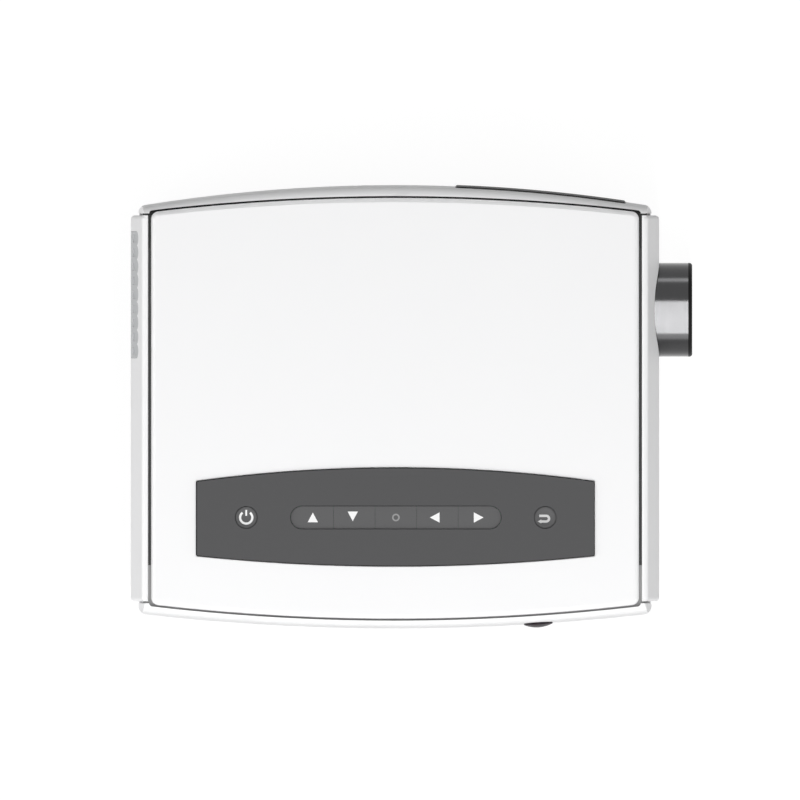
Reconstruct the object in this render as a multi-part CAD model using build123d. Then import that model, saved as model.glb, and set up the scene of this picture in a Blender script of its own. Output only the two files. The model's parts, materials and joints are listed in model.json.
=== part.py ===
from build123d import *
import math
import os

# A home projector with a disc drive, seen with its lens towards +X, its sockets towards +Y
# and its disc tray towards -Y. Lengths are in millimetres, angles in degrees, +Z is up.

# Outer form: a low box whose long sides bow outwards, on four rubber feet. Its depth follows
# from the disc drive and the light path, which lie side by side. A setback is a distance
# inwards from the end or from half the depth.
body_length = 300.0
body_height = 100.0
foot_height = 4.0
port_side_step = 0.9
port_bow = 900.0
tray_bow = 1270.0
core_setback = 4.3
core_corner = 5.0
bow_lift = 1.0
cheek_setback = 16.3
cheek_round = 2.2
wall = 2.4
seam = 1.1
shell_fit = 0.15
least_round = 0.5

# The walls stand upright in the middle, lean in above and tuck in below
lean_height = 26.0
end_lean = 6.5
core_end_lean = 3.0
side_lean = 1.4
lean_round = 30.0
end_top_round = 2.5
side_top_round = 6.5
tuck = 4.5
tuck_height = 16.0
tuck_round = 15.0
bottom_round = 4.0

# Seams between the shells
end_seam_setback = 10.6
end_seam = 1.7
pan_depth = 14.0
cover_setback = 6.4
cover_bow = 1187.0
cover_corner = 4.5
side_corner = 1.0
cover_skirt = 1.6
cover_rim_round = 4.0
cover_rim_out = 0.47
cover_rim_up = 0.14
end_rim_round = 1.2
end_rim_up = 0.1
lip_height = 4.0
lip_wall = 3.0
lip_root = 6.0
ring_depth = 3.4
ring_inside = 5.0
ring_outside = 2.6
column_x = 9.9
column_y = 8.0
boss_radius = 4.5
corner_boss_end = 18.0
corner_boss_side = 9.6

# Screws, standoffs and inserts
screw_radius = 1.5
screw_head_radius = 2.9
screw_head_height = 2.0
screw_grip = 14.0
screw_fit = 0.1
post_radius = 4.0
insert_spacing_x = 120.0
insert_spacing_y = 90.0
insert_bore = 2.0
insert_wall = 1.2
insert_length = 8.0
insert_boss_wall = 2.4
vent_count = 9
vent_pitch = 6.0
vent_width = 2.4
vent_length = 32.0

# Feet
foot_radius = 9.0
foot_end = 32.0
foot_side = 21.6
foot_recess = 1.0
foot_peg_radius = 3.0
foot_peg_head = 1.6
foot_fit = 0.2
lift_y = -20.0
lift_travel = 20.0
stem_radius = 5.0
stem_flat = 3.8
stem_gap = 0.6
stem_pad_radius = 7.5
stem_pad_height = 3.0
wheel_radius = 14.0
wheel_height = 5.0
wheel_gap = 0.6
wheel_notches = 24
wheel_notch_radius = 0.9
thread_fit = 0.05

# Control panel and keys in the top cover
panel_left_end = 37.0
panel_right_end = 36.5
panel_back = -33.6
panel_front = -89.8
panel_back_sag = 7.7
panel_front_sag = 5.9
panel_proud = 0.9
panel_corner = 1.0
panel_bevel = 0.5
panel_recess = 1.0
panel_fit = 0.3
key_y = -62.0
power_key_inset = 28.5
return_key_inset = 28.2
round_key_radius = 6.0
round_key_fit = 0.4
round_key_dish = 14.0
round_key_rim = 1.0
strip_centre_x = 0.5
strip_length = 119.4
strip_height = 12.8
strip_gap = 0.3
key_pitch = 23.6
key_gap = 0.12
key_travel = 0.6
key_sink = 0.7
key_flange = 1.1
key_flange_thickness = 1.2
key_stop_gap = 0.2
switch_side = 6.0
switch_height = 2.3
switch_gap = 0.05
board_thickness = 1.6

# Lens, whose axis lies at this part of the body's height
lens_level = 0.56
lens_hole_radius = 28.5
lens_hole_bevel = 1.0
ring_radius = 26.65
lens_proud = 18.8
rim_depth = 2.2
rim_round = 1.6
rim_opening = 18.6
ring_start = 7.0
mount_tube_radius = 22.0
mount_tube_bore = 20.05
mount_tube_short = 4.6
mount_collar_radius = 24.6
mount_collar_width = 3.0
mount_flange_side = 60.0
mount_flange_thickness = 3.0
slide_fit = 0.05
barrel_wall = 2.4
barrel_length = 46.0
barrel_gap = 1.9
focus_travel = 1.5
lens_thickness = 8.0
lens_crown = 2.6
lens_inset = 2.0
rear_lens_thickness = 7.0

# Optics: every plate stands square to the light, which runs along +X. The plates' places are
# distances from the housing's back.
lamp_room = 46.8
housing_length = 68.0
housing_width = 92.0
housing_tall = 64.0
housing_wall = 2.0
board_room = 24.8
cone_setback = 46.0
cone_end_side = 58.0
plate_fit = 0.2
rib_thick = 1.4
rib_tall = 2.6
heat_glass_place = 8.0
rear_fresnel_place = 18.0
lcd_place = 44.0
front_fresnel_place = 60.0
glass_thickness = 1.8
fresnel_thickness = 2.0
lcd_thickness = 2.6
reflector_length = 34.0
reflector_wall = 1.2
reflector_throat = 26.0
led_plate_side = 40.0
led_plate_thickness = 2.5
led_chip_side = 16.0
led_chip_thickness = 1.2
sink_base = 4.0
sink_width = 68.0
sink_tall = 64.0
sink_fin_length = 22.0
sink_fin_thickness = 1.2
sink_fin_pitch = 4.4
fan_side = 70.0
fan_depth = 15.0
fan_setback = 9.0
fan_duct_radius = 33.5
fan_hub_radius = 14.0
fan_hub_plate = 2.0
fan_strut_width = 3.0
fan_corner_round = 4.0
fan_hole_radius = 2.1
fan_hole_inset = 4.5
fan_axle_radius = 1.5
fan_blades = 7
fan_blade_thickness = 1.2
fan_blade_pitch = 38.0
fan_tip_gap = 1.0
fan_end_gap = 1.2

# Exhaust grille: upright vanes whose rounded tops make a scalloped edge. The slots in them end
# below the lean, and above it there are shallow grooves.
grille_vanes = 9
grille_pitch = 8.0
grille_side_step = 8.5
grille_drop = 30.0
grille_rise = 30.5
grille_slot = 4.6
grille_groove = 0.5
grille_margin = 4.5
grille_fit = 0.12

# Sockets, on a board that stands behind the dark plate and turns with the bowed wall
plate_setback = 19.1
plate_width = 96.5
plate_low_z = 30.0
plate_drop = 8.0
plate_proud = 0.8
plate_corner = 3.0
plate_bevel = 0.7
plate_gap = 0.1
socket_gap = 0.35
board_setback = 17.0
board_x_low = -46.0
board_x_high = 40.0
board_low_z = 34.0
board_high_z = 84.0
socket_sink = 1.2
upper_row_z = 67.0
lower_row_z = 48.0
hdmi_width = 15.0
hdmi_height = 5.9
hdmi_places = (-36.0, -16.0)
usb_width = 13.2
usb_height = 5.9
usb_places = (4.0, 22.0)
socket_skin = 0.4
socket_bottom = 2.0
hdmi_tongue = 1.0
usb_tongue = 1.8
tongue_side = 1.6
tongue_sink = 1.0
vga_place = -27.0
vga_width = 17.0
vga_height = 8.4
vga_flange_width = 31.0
vga_flange_height = 12.6
vga_flange_sink = 3.2
vga_face_sink = 2.4
vga_pin_radius = 0.55
vga_pitch = 2.3
vga_post_radius = 2.4
vga_post_spacing = 25.0
jack_places = (2.0, 16.0)
jack_radius = 3.9
jack_body = 9.0
jack_bore = 1.8
jack_depth = 13.0
slot_place = 31.0
slot_width = 12.0
slot_height = 2.4
boss_small = 2.6
chip_places = ((-30.0, 8.0), (-4.0, 12.0), (20.0, 9.0))
chip_thickness = 1.8

# Mains inlet in the grille end
inlet_side_step = 3.5
inlet_z = 38.0
inlet_width = 24.0
inlet_height = 16.0
inlet_depth = 19.0
inlet_sink = 0.6
inlet_gap = 0.3
inlet_cavity_width = 18.6
inlet_cavity_height = 9.6
inlet_cavity_depth = 13.0
inlet_pin_radius = 1.2
inlet_pin_spacing = 8.6
inlet_pin_short = 2.5
inlet_clip = 1.4

# Supply board, left of the disc drive
supply_end = 8.0
supply_gap = 7.0
supply_front = 29.5
supply_back = 11.5
supply_lift = 7.6
transformer_side = 30.0
transformer_height = 24.0
capacitor_radius = 8.0
capacitor_height = 26.0
supply_fin_length = 34.0
supply_fin_height = 22.0
supply_fin_thickness = 2.0

# Speakers behind the tray side
speaker_end = 44.0
speaker_z = 57.0
speaker_side = 38.0
speaker_plate = 1.6
speaker_setback = 8.5
basket_radius = 17.5
basket_depth = 9.0
magnet_radius = 12.0
magnet_depth = 8.0
cone_radius = 15.5
cone_depth = 5.0
cone_cap_radius = 5.0
collar_wall = 1.6
collar_fit = 0.2
speaker_slots = 9
speaker_slot_span = 15.2
speaker_slot_reach = 17.0
speaker_slot_width = 1.9

# Remote-control window, a shallow dome in the tray side
window_end = 68.6
window_drop = 17.0
window_radius = 8.15
window_crown = 1.8
window_collar = 0.25
window_fit = 0.1
window_rim = 1.2
eye_board_width = 10.0
eye_board_tall = 10.0
eye_gap = 5.0
eye_radius = 2.6

# Disc drive, of the slim kind with its motor and sledge under the tray
drive_x = -12.0
drive_bottom = 28.0
drive_height = 16.0
drive_side = 4.5
drive_tail = 5.0
drive_gap = 2.5
drive_sheet = 1.0
drive_mouth_gap = 2.0
tray_margin = 5.5
tray_side = 3.1
tray_end = 0.6
tray_lift = 2.0
tray_thickness = 11.2
tray_floor = 1.5
tray_rim = 1.5
disc_recess_radius = 60.4
disc_recess_depth = 4.0
inner_recess_radius = 40.5
inner_recess_depth = 0.6
finger_radius = 9.0
bezel_side = 0.2
bezel_margin = 0.5
bezel_gap = 0.5
rail_gap = 0.5
rail_width = 2.2
rail_height = 4.0
guide_thickness = 0.8
eject_offset = 46.0
eject_width = 8.6
eject_height = 3.2
eject_fit = 0.15
eject_travel = 0.8
eject_flange = 0.9
eject_sink = 0.3
pinhole_radius = 0.7
pinhole_offset = 34.0
sledge_turn = 45.0
motor_radius = 11.5
motor_height = 4.4
motor_lift = 0.8
hub_hole_radius = 16.0
table_radius = 14.5
table_thickness = 0.9
table_lift = 0.5
hub_radius = 7.4
hub_height = 2.6
spindle_radius = 1.0
read_start = 24.0
read_travel = 33.0
pickup_length = 17.0
pickup_lip = 1.5
pickup_half = 18.0
pickup_height = 4.2
turret_radius = 5.0
turret_height = 1.3
objective_radius = 2.2
rod_radius = 1.4
rod_offset = 14.5
rod_over = 2.5
screw_shaft_radius = 1.1
screw_offset = 21.5
screw_pitch = 3.0
screw_groove = 0.3
screw_motor_length = 9.0
screw_motor_width = 7.0
window_half = 13.0
drive_board_width = 46.0
drive_board_depth = 34.0
drive_board_thickness = 1.0

# Heights that follow from the sizes above
roof_z = foot_height + body_height
ceiling_z = roof_z - wall
floor_z = foot_height + wall
lean_z = roof_z - lean_height
tuck_z = foot_height + tuck_height
pan_z = foot_height + pan_depth
lens_z = foot_height + lens_level * body_height
window_z = roof_z - window_drop
plate_high_z = roof_z - plate_drop

# The depth: the tray and its drive, then the light path, then the socket board
tray_depth = 2 * (disc_recess_radius + tray_end)
tray_width = 2 * (disc_recess_radius + tray_side)
drive_width = tray_width + 2 * drive_side
bezel_half = drive_width / 2 - bezel_side
drive_depth = tray_margin + tray_depth + drive_tail
body_depth = drive_depth + drive_gap + housing_width + board_room
port_reach = body_depth / 2 + port_side_step
tray_reach = body_depth / 2 - port_side_step
cover_reach = body_depth / 2 - cover_setback
cheek_half = body_depth / 2 - cheek_setback
corner_boss_y = cheek_half - corner_boss_side
foot_y = cheek_half - foot_side
tray_front = -tray_reach + tray_margin
tray_back = tray_front + tray_depth
disc_y = tray_front + tray_depth / 2
drive_back = -tray_reach + drive_depth
lens_y = drive_back + drive_gap + housing_width / 2
grille_y = lens_y + grille_side_step
inlet_y = disc_y - inlet_side_step
supply_y_low = tray_front + supply_front
supply_y_high = drive_back - supply_back

# Along the length
end_x = body_length / 2
core_half = end_x - core_setback
end_seam_x = end_x - end_seam_setback
cover_half = end_seam_x - end_seam / 2
end_panel_x = end_seam_x + end_seam / 2
corner_boss_x = end_x - corner_boss_end
foot_x = end_x - foot_end
panel_x_low = panel_left_end - end_x
panel_x_high = end_x - panel_right_end
power_x = panel_x_low + power_key_inset
return_x = panel_x_high - return_key_inset
speaker_x = end_x - speaker_end
window_x = end_x - window_end
plate_x_high = end_x - plate_setback
plate_x_low = plate_x_high - plate_width
supply_x_low = supply_end - end_x
supply_x_high = drive_x - drive_width / 2 - supply_gap
fan_back_x = fan_setback - end_x
sink_back_x = fan_back_x + fan_depth + fan_end_gap
led_x = sink_back_x + sink_fin_length + sink_base
housing_back_x = led_x + lamp_room
heat_glass_x = housing_back_x + heat_glass_place
rear_fresnel_x = housing_back_x + rear_fresnel_place
lcd_x = housing_back_x + lcd_place
front_fresnel_x = housing_back_x + front_fresnel_place
housing_front_x = housing_back_x + housing_length
cone_end_x = end_x - cone_setback
beyond = 2 * body_length

ALONG_X = Rot(0, 90, 0)
ALONG_Y = Rot(-90, 0, 0)
UPRIGHT = Rot(0, 0, 0)


def block(x, y, z):
    """A box between two limits along each axis."""
    middle = [(low + high) / 2 for low, high in (x, y, z)]
    sides = [high - low for low, high in (x, y, z)]
    return Pos(*middle) * Box(*sides)


def about(centre, size):
    """The two limits of a length about its centre."""
    return (centre - size / 2, centre + size / 2)


def bar(radius, start, length, turn=UPRIGHT):
    """A round bar that starts at a point and runs along the turned +Z."""
    ends = (Align.CENTER, Align.CENTER, Align.MIN)
    return Pos(*start) * turn * Cylinder(radius, length, align=ends)


def joined(shapes):
    """One shape from a list, whose separate pieces stay separate solids."""
    whole = shapes[0]
    for shape in shapes[1:]:
        whole += shape
    return whole


def crowned_disc(radius, thickness, crown):
    """A disc on the ground whose upper face rises to a crown."""
    bulge = (radius**2 + crown**2) / (2 * crown)
    edge = thickness - crown
    middle = thickness - bulge + math.sqrt(bulge**2 - (radius / 2) ** 2)
    up = Line((0, thickness), (0, 0))
    across = Line((0, 0), (radius, 0))
    rim = Line((radius, 0), (radius, edge))
    arc = ThreePointArc((radius, edge), (radius / 2, middle), (0, thickness))
    return revolve(Plane.XZ * make_face([up, across, rim, arc]), Axis.Z, 360)


def rounded_outline(corners):
    """A closed outline from points, each with the radius of its corner."""
    face = make_face(Polyline(*[point for point, radius in corners], close=True))
    for point, radius in corners:
        if radius > 0:
            corner = face.vertices().sort_by_distance((point[0], point[1], 0))[0]
            face = fillet(corner, radius)
    return face


# ------------------------------------------------------------------ outer form


def bow_drop(radius, x):
    """How far a bow of this radius falls away from its crest at x."""
    return radius - math.sqrt(radius**2 - x**2)


def plan_outline(half, back, back_bow, front, front_bow, corner, lift=0):
    """A rectangle with bowed long sides, whose crests can be lifted clear of the bows."""
    back_y = back - bow_drop(back_bow, half)
    front_y = front - bow_drop(front_bow, half)
    back_arc = ThreePointArc((-half, back_y), (0, back + lift), (half, back_y))
    right = Line((half, back_y), (half, -front_y))
    front_arc = ThreePointArc((half, -front_y), (0, -front - lift), (-half, -front_y))
    left = Line((-half, -front_y), (-half, back_y))
    outline = make_face([back_arc, right, front_arc, left])
    return fillet(outline.vertices(), corner)


def drawn_in(corners, inset):
    """The corners of a convex outline whose edges have moved in, with smaller rounds."""
    moved = []
    for place, (point, radius) in enumerate(corners):
        before = corners[place - 1][0]
        after = corners[(place + 1) % len(corners)][0]
        edge_in = (Vector(point) - Vector(before)).normalized()
        edge_out = (Vector(after) - Vector(point)).normalized()
        inward = Vector(-edge_in.Y - edge_out.Y, edge_in.X + edge_out.X)
        step = inward * (inset / (1 + edge_in.dot(edge_out)))
        smaller = radius - inset
        moved.append(((point[0] + step.X, point[1] + step.Y), smaller if smaller > least_round else 0))
    return moved


def bowed_side(reach, bow, inset):
    """A disc of the long side's upright profile, turned about the bow's centre, far off."""
    axis_y = reach - bow
    corners = [
        ((axis_y - inset, foot_height), 0),
        ((reach - tuck, foot_height), bottom_round),
        ((reach, tuck_z), tuck_round),
        ((reach, lean_z), lean_round),
        ((reach - side_lean, roof_z), side_top_round),
        ((axis_y - inset, roof_z), 0),
    ]
    profile = rounded_outline(drawn_in(corners, inset))
    return revolve(Plane.YZ * profile, Axis((0, axis_y, 0), (0, 0, 1)), 360)


def end_profile(half, lean, inset):
    right = [
        ((half - tuck, foot_height), bottom_round),
        ((half, tuck_z), tuck_round),
        ((half, lean_z), lean_round),
        ((half - lean, roof_z), end_top_round),
    ]
    left = [((-point[0], point[1]), radius) for point, radius in reversed(right)]
    return Plane.XZ * rounded_outline(drawn_in(right + left, inset))


def cheek_form(inset):
    """The part of the form that reaches out to the ends, before its corners are rounded."""
    return extrude(end_profile(end_x, end_lean, inset), cheek_half - inset, both=True)


def body_form(inset):
    """The whole outer form, or the same form drawn in by a wall."""
    plan = plan_outline(
        core_half - inset,
        port_reach - inset,
        port_bow - inset,
        tray_reach - inset,
        tray_bow - inset,
        core_corner - inset,
        bow_lift,
    )
    core = extrude(plan, 2 * body_height)
    core &= extrude(end_profile(core_half, core_end_lean, inset), beyond, both=True)
    core &= bowed_side(port_reach, port_bow, inset)
    core &= mirror(bowed_side(tray_reach, tray_bow, inset), Plane.XZ)
    cheeks = cheek_form(inset)
    if inset == 0:
        rims = cheeks.faces().sort_by(Axis.Y)
        cheeks = fillet(rims[0].edges() + rims[-1].edges(), cheek_round)
    return core + cheeks


outer = body_form(0)
cavity = body_form(wall)
close_cavity = body_form(wall + shell_fit)
shell = outer - cavity
cover_plan = plan_outline(cover_half, cover_reach, cover_bow, cover_reach, cover_bow, cover_corner)
# The side panels keep sharper corners than the cover, so the frame shows there
side_plan = plan_outline(cover_half, cover_reach, cover_bow, cover_reach, cover_bow, side_corner)


def above(z):
    return block((-beyond, beyond), (-beyond, beyond), (z, z + beyond))


def prism(plan, grow, low_z):
    """An outline, grown or drawn in, as an upright prism through the roof."""
    plan = offset(plan, grow, kind=Kind.ARC) if grow else plan
    return Pos(0, 0, low_z) * extrude(plan, body_height)


def cover_prism(grow, low_z):
    return prism(cover_plan, grow, low_z)


def cover_cap():
    """The same outline with a rounded upper edge, a little wider and higher than the cover."""
    low_z = roof_z - 2 * cover_rim_round
    plan = offset(cover_plan, cover_rim_out, kind=Kind.ARC)
    cap = Pos(0, 0, low_z) * extrude(plan, roof_z + cover_rim_up - low_z)
    return fillet(cap.faces().sort_by(Axis.Z)[-1].edges(), cover_rim_round)


def end_region():
    """What belongs to the end at +X: past the seam, between the cheeks' rims."""
    limits = ((end_panel_x, beyond), (-cheek_half, cheek_half), (pan_z + seam, roof_z + end_rim_up))
    region = block(*limits)
    upper_edges = region.faces().sort_by(Axis.Z)[-1].edges().filter_by(Axis.Y)
    return fillet(upper_edges.sort_by(Axis.X)[0], end_rim_round)


def footprint(inset):
    """The body's outline on the ground, drawn in, as an upright prism."""
    plan = plan_outline(core_half, port_reach, port_bow, tray_reach, tray_bow, core_corner)
    plan = offset(plan, -inset, kind=Kind.INTERSECTION)
    plan += Rectangle(2 * (end_x - inset), 2 * (cheek_half - inset))
    return extrude(plan, 2 * body_height)


# ---------------------------------------------------------------- panel outline


def control_outline(grow):
    """The barrel-shaped outline of the control panel."""
    middle = (panel_x_low + panel_x_high) / 2
    low = panel_x_low - grow
    high = panel_x_high + grow
    back = panel_back + grow
    front = panel_front - grow
    back_end = back - panel_back_sag
    front_end = front + panel_front_sag
    back_arc = ThreePointArc((low, back_end), (middle, back), (high, back_end))
    right = Line((high, back_end), (high, front_end))
    front_arc = ThreePointArc((high, front_end), (middle, front), (low, front_end))
    left = Line((low, front_end), (low, back_end))
    outline = make_face([back_arc, right, front_arc, left])
    return fillet(outline.vertices(), panel_corner)


def strip_outline(grow):
    outline = SlotOverall(strip_length + 2 * grow, strip_height + 2 * grow)
    return Pos(strip_centre_x, key_y) * outline


def key_openings(low_z, high_z, grow):
    """The strip's hole and the two round holes, between two heights."""
    strip = Pos(0, 0, low_z) * extrude(strip_outline(strip_gap + grow), high_z - low_z)
    radius = round_key_radius + round_key_fit + grow
    rounds = [bar(radius, (x, key_y, low_z), high_z - low_z) for x in (power_x, return_x)]
    return joined([strip] + rounds)


panel_top = roof_z + panel_proud
panel_bottom = roof_z - panel_recess
key_top = panel_top - key_sink
flange_top = ceiling_z - key_stop_gap
flange_bottom = flange_top - key_flange_thickness
switch_top = flange_bottom - key_travel - switch_gap
key_board_top = switch_top - switch_height
key_post_reach = strip_height / 2 + strip_gap + key_flange + boss_small + key_stop_gap
strip_key_places = [strip_centre_x + key_pitch * step for step in (-2, -1, 0, 1, 2)]


def control_panel():
    plate = Pos(0, 0, panel_bottom) * extrude(control_outline(0), panel_top - panel_bottom)
    top = plate.faces().sort_by(Axis.Z)[-1]
    plate = chamfer(top.outer_wire().edges(), panel_bevel)
    return plate - key_openings(floor_z, panel_top + wall, 0)


def round_key(x):
    start = (x, key_y, flange_bottom)
    cap = bar(round_key_radius, start, key_top - flange_bottom)
    flange = bar(round_key_radius + round_key_fit + key_flange, start, key_flange_thickness)
    dish_depth = bow_drop(round_key_dish, round_key_radius - round_key_rim)
    dish = Pos(x, key_y, key_top + round_key_dish - dish_depth) * Sphere(round_key_dish)
    return cap + flange - dish


def strip_key(step):
    """One of the five keys that share the strip, cut from it between its neighbours."""
    strip = Pos(0, 0, flange_bottom) * extrude(strip_outline(0), key_top - flange_bottom)
    flange_width = strip_height + 2 * (strip_gap + key_flange)
    straight = strip_length - strip_height
    strip += block(
        about(strip_centre_x, straight),
        about(key_y, flange_width),
        (flange_bottom, flange_top),
    )
    centre = strip_centre_x + step * key_pitch
    reach = (key_pitch - key_gap) / 2
    left = centre - reach if step > -2 else -beyond
    right = centre + reach if step < 2 else beyond
    return strip & block((left, right), (-beyond, beyond), (0, beyond))


def key_board():
    places = [power_x, return_x] + strip_key_places
    margin = 2 * switch_side
    board = block(
        (power_x - margin, return_x + margin),
        about(key_y, 2 * (key_post_reach + boss_small)),
        (key_board_top - board_thickness, key_board_top),
    )
    height = (key_board_top, switch_top)
    switches = [block(about(x, switch_side), about(key_y, switch_side), height) for x in places]
    return joined([board] + switches)


def key_board_posts():
    """Posts under the cover that carry the key board, between the switches."""
    places = []
    for x in (power_x + key_pitch / 2, strip_centre_x, return_x - key_pitch / 2):
        places += [(x, key_y - key_post_reach), (x, key_y + key_post_reach)]
    length = ceiling_z - key_board_top
    return [bar(boss_small, (x, y, key_board_top), length + wall / 2) for x, y in places]


# ------------------------------------------------------------------- top cover


def top_cover():
    skin = shell & cover_prism(0, ceiling_z - cover_skirt)
    skin &= cover_cap()
    skin -= Pos(0, 0, panel_bottom) * extrude(control_outline(panel_fit), body_height)
    skin += joined(key_board_posts())
    return skin - key_openings(floor_z, roof_z + wall, key_flange / 2)


offset_skirt = shell & cover_prism(shell_fit, ceiling_z - cover_skirt - shell_fit)
lip_inset = wall + shell_fit + lip_wall


def mid_frame():
    """The dark frame under the seams: a ring below the cover's edge, on four corner columns."""
    tall = ceiling_z - shell_fit
    ring = cover_prism(ring_outside, tall - ring_depth) - cover_prism(-ring_inside, lean_z)
    ring -= above(tall)
    columns = []
    screw_hole = screw_radius + screw_fit
    for x in (-1, 1):
        for y in (-1, 1):
            edge_x = x * (core_half - wall)
            edge_y = y * (cheek_half + seam / 2)
            post = block(
                sorted((edge_x, edge_x - x * column_x)),
                about(edge_y, column_y),
                (pan_z, tall),
            )
            boss = bar(boss_radius, (x * corner_boss_x, y * corner_boss_y, pan_z), tall - pan_z)
            web = block(
                sorted((x * corner_boss_x, edge_x - x)),
                sorted((y * corner_boss_y, edge_y)),
                (pan_z, tall),
            )
            web -= block(
                sorted((x * (corner_boss_x + lip_wall), x * beyond)),
                sorted((0, edge_y - y * lip_wall)),
                (0, beyond),
            )
            hole = bar(screw_hole, (x * corner_boss_x, y * corner_boss_y, pan_z), screw_grip)
            columns.append(post + boss + web - hole)
    frame = joined([ring] + columns)
    frame &= close_cavity
    # The columns keep off the pan's lip and the cover's skirt
    lip_zone = block((-beyond, beyond), (-beyond, beyond), (0, pan_z + lip_height + shell_fit))
    frame -= lip_zone - footprint(lip_inset + shell_fit)
    return frame - offset_skirt


# -------------------------------------------------------------------- base pan


def pan_lip():
    """A tongue inside the walls that closes the seam above the pan."""
    band = block((-beyond, beyond), (-beyond, beyond), (pan_z, pan_z + lip_height))
    root = block((-beyond, beyond), (-beyond, beyond), (pan_z - lip_root, pan_z))
    return (close_cavity & band) + (cavity & root) - footprint(lip_inset)


lift_x = foot_x
wheel_low = foot_height + wheel_gap
wheel_top = wheel_low + wheel_height
well_radius = wheel_radius + 2 * wheel_gap
well_top = wheel_top + wheel_gap
guide_top = well_top + lift_travel - stem_pad_height
drive_top = drive_bottom + drive_height
drive_mouth = tray_front + drive_mouth_gap


def insert_places():
    return [(x, y) for x in about(0, insert_spacing_x) for y in about(0, insert_spacing_y)]


def corner_places():
    return [(x, y) for x in (-corner_boss_x, corner_boss_x) for y in (-corner_boss_y, corner_boss_y)]


def foot_places():
    return [(x, y) for x in (-foot_x, foot_x) for y in (-foot_y, foot_y)]


def carrier_posts():
    """Posts on the pan's floor, with the height of what each one carries."""
    inset = 2 * post_radius
    drive_xs = (drive_x - drive_width / 2 + inset, drive_x + drive_width / 2 - inset)
    drive_ys = (drive_mouth + inset, drive_back - inset)
    posts = [(x, y, drive_bottom) for x in drive_xs for y in drive_ys]
    housing_xs = (housing_back_x + inset, housing_front_x - inset)
    housing_ys = about(lens_y, housing_width - 3 * inset)
    posts += [(x, y, lens_z - housing_tall / 2) for x in housing_xs for y in housing_ys]
    supply_xs = (supply_x_low + post_radius, supply_x_high - post_radius)
    supply_ys = (supply_y_low + post_radius, supply_y_high - post_radius)
    posts += [(x, y, floor_z + supply_lift) for x in supply_xs for y in supply_ys]
    mount_x = cone_end_x + mount_flange_thickness / 2
    posts += [(mount_x, y, lens_z - mount_flange_side / 2) for y in about(lens_y, mount_flange_side / 2)]
    fan_x = fan_back_x + fan_depth / 2
    posts += [(fan_x, y, lens_z - fan_side / 2) for y in about(lens_y, fan_side / 2)]
    return posts


def vent_slots():
    """Intake slots in the floor, below the optics and between the inserts."""
    middle_x = (housing_back_x + housing_front_x) / 2
    slots = []
    for slot in range(vent_count):
        x = middle_x + (slot - (vent_count - 1) / 2) * vent_pitch
        slots.append(block(about(x, vent_width), about(lens_y, vent_length), (0, floor_z + 1)))
    return slots


def base_pan():
    pan = shell - above(pan_z)
    pan += pan_lip()
    for x, y, top in carrier_posts():
        pan += bar(post_radius, (x, y, floor_z - wall / 2), top - floor_z + wall / 2)
    for x, y in corner_places():
        pan += bar(boss_radius, (x, y, floor_z - wall / 2), pan_z - floor_z + wall / 2)
    insert_radius = insert_bore + insert_wall
    for x, y in insert_places():
        height = insert_length + insert_boss_wall
        pan += bar(insert_radius + insert_boss_wall, (x, y, foot_height), height)
    pan += bar(well_radius + wall, (lift_x, lift_y, foot_height), well_top + wall - foot_height)
    pan += bar(stem_radius + 2 * wall, (lift_x, lift_y, foot_height), guide_top - foot_height)
    for x, y in insert_places():
        pan -= bar(insert_radius, (x, y, 0), foot_height + insert_length)
    for x, y in corner_places():
        pan -= bar(screw_radius + screw_fit, (x, y, 0), body_height / 2)
        pan -= bar(screw_head_radius + screw_fit, (x, y, 0), foot_height + screw_head_height)
    for x, y in foot_places():
        pan -= bar(foot_radius + foot_fit, (x, y, 0), foot_height + foot_recess)
        pan -= bar(foot_peg_radius, (x, y, 0), floor_z + wall)
    pan -= bar(well_radius, (lift_x, lift_y, 0), well_top)
    pan -= stem_shape(stem_radius + thread_fit, stem_flat + thread_fit, 0, body_height)
    for slot in vent_slots():
        pan -= slot
    return pan


def stem_shape(radius, flat, low_z, high_z):
    """A round stem with two flats, which keep it from turning in its guide."""
    stem = bar(radius, (lift_x, lift_y, low_z), high_z - low_z)
    return stem & block(about(lift_x, 2 * flat), (-beyond, beyond), (low_z, high_z))


def foot_stem():
    pad_low = stem_gap
    pad = bar(stem_pad_radius, (lift_x, lift_y, pad_low), stem_pad_height)
    pad = chamfer(pad.edges().sort_by(Axis.Z)[0], stem_gap)
    top = guide_top + lift_travel / 2
    return pad + stem_shape(stem_radius, stem_flat, pad_low, top)


def foot_wheel():
    """The thumb wheel, threaded on the stem and held in the pan's well."""
    low = wheel_low
    wheel = bar(wheel_radius, (lift_x, lift_y, low), wheel_height)
    wheel -= bar(stem_radius + thread_fit, (lift_x, lift_y, 0), body_height)
    for notch in range(wheel_notches):
        angle = math.radians(360 / wheel_notches * notch)
        x = lift_x + wheel_radius * math.cos(angle)
        y = lift_y + wheel_radius * math.sin(angle)
        wheel -= bar(wheel_notch_radius, (x, y, low), wheel_height)
    return wheel


def rubber_feet():
    feet = []
    for x, y in foot_places():
        pad = bar(foot_radius, (x, y, 0), foot_height + foot_recess)
        pad = chamfer(pad.edges().sort_by(Axis.Z)[0], foot_recess)
        peg = bar(foot_peg_radius, (x, y, foot_height), wall + foot_peg_head)
        feet.append(pad + peg)
    return joined(feet)


def case_screws():
    screws = []
    for x, y in corner_places():
        head = bar(screw_head_radius, (x, y, foot_height), screw_head_height)
        shank_low = foot_height + screw_head_height
        shank = bar(screw_radius, (x, y, shank_low), pan_z + screw_grip - 1 - shank_low)
        cross = block(about(x, screw_head_radius), about(y, screw_radius / 2), (0, shank_low - 1))
        cross += block(about(x, screw_radius / 2), about(y, screw_head_radius), (0, shank_low - 1))
        screws.append(head + shank - cross)
    return joined(screws)


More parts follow.
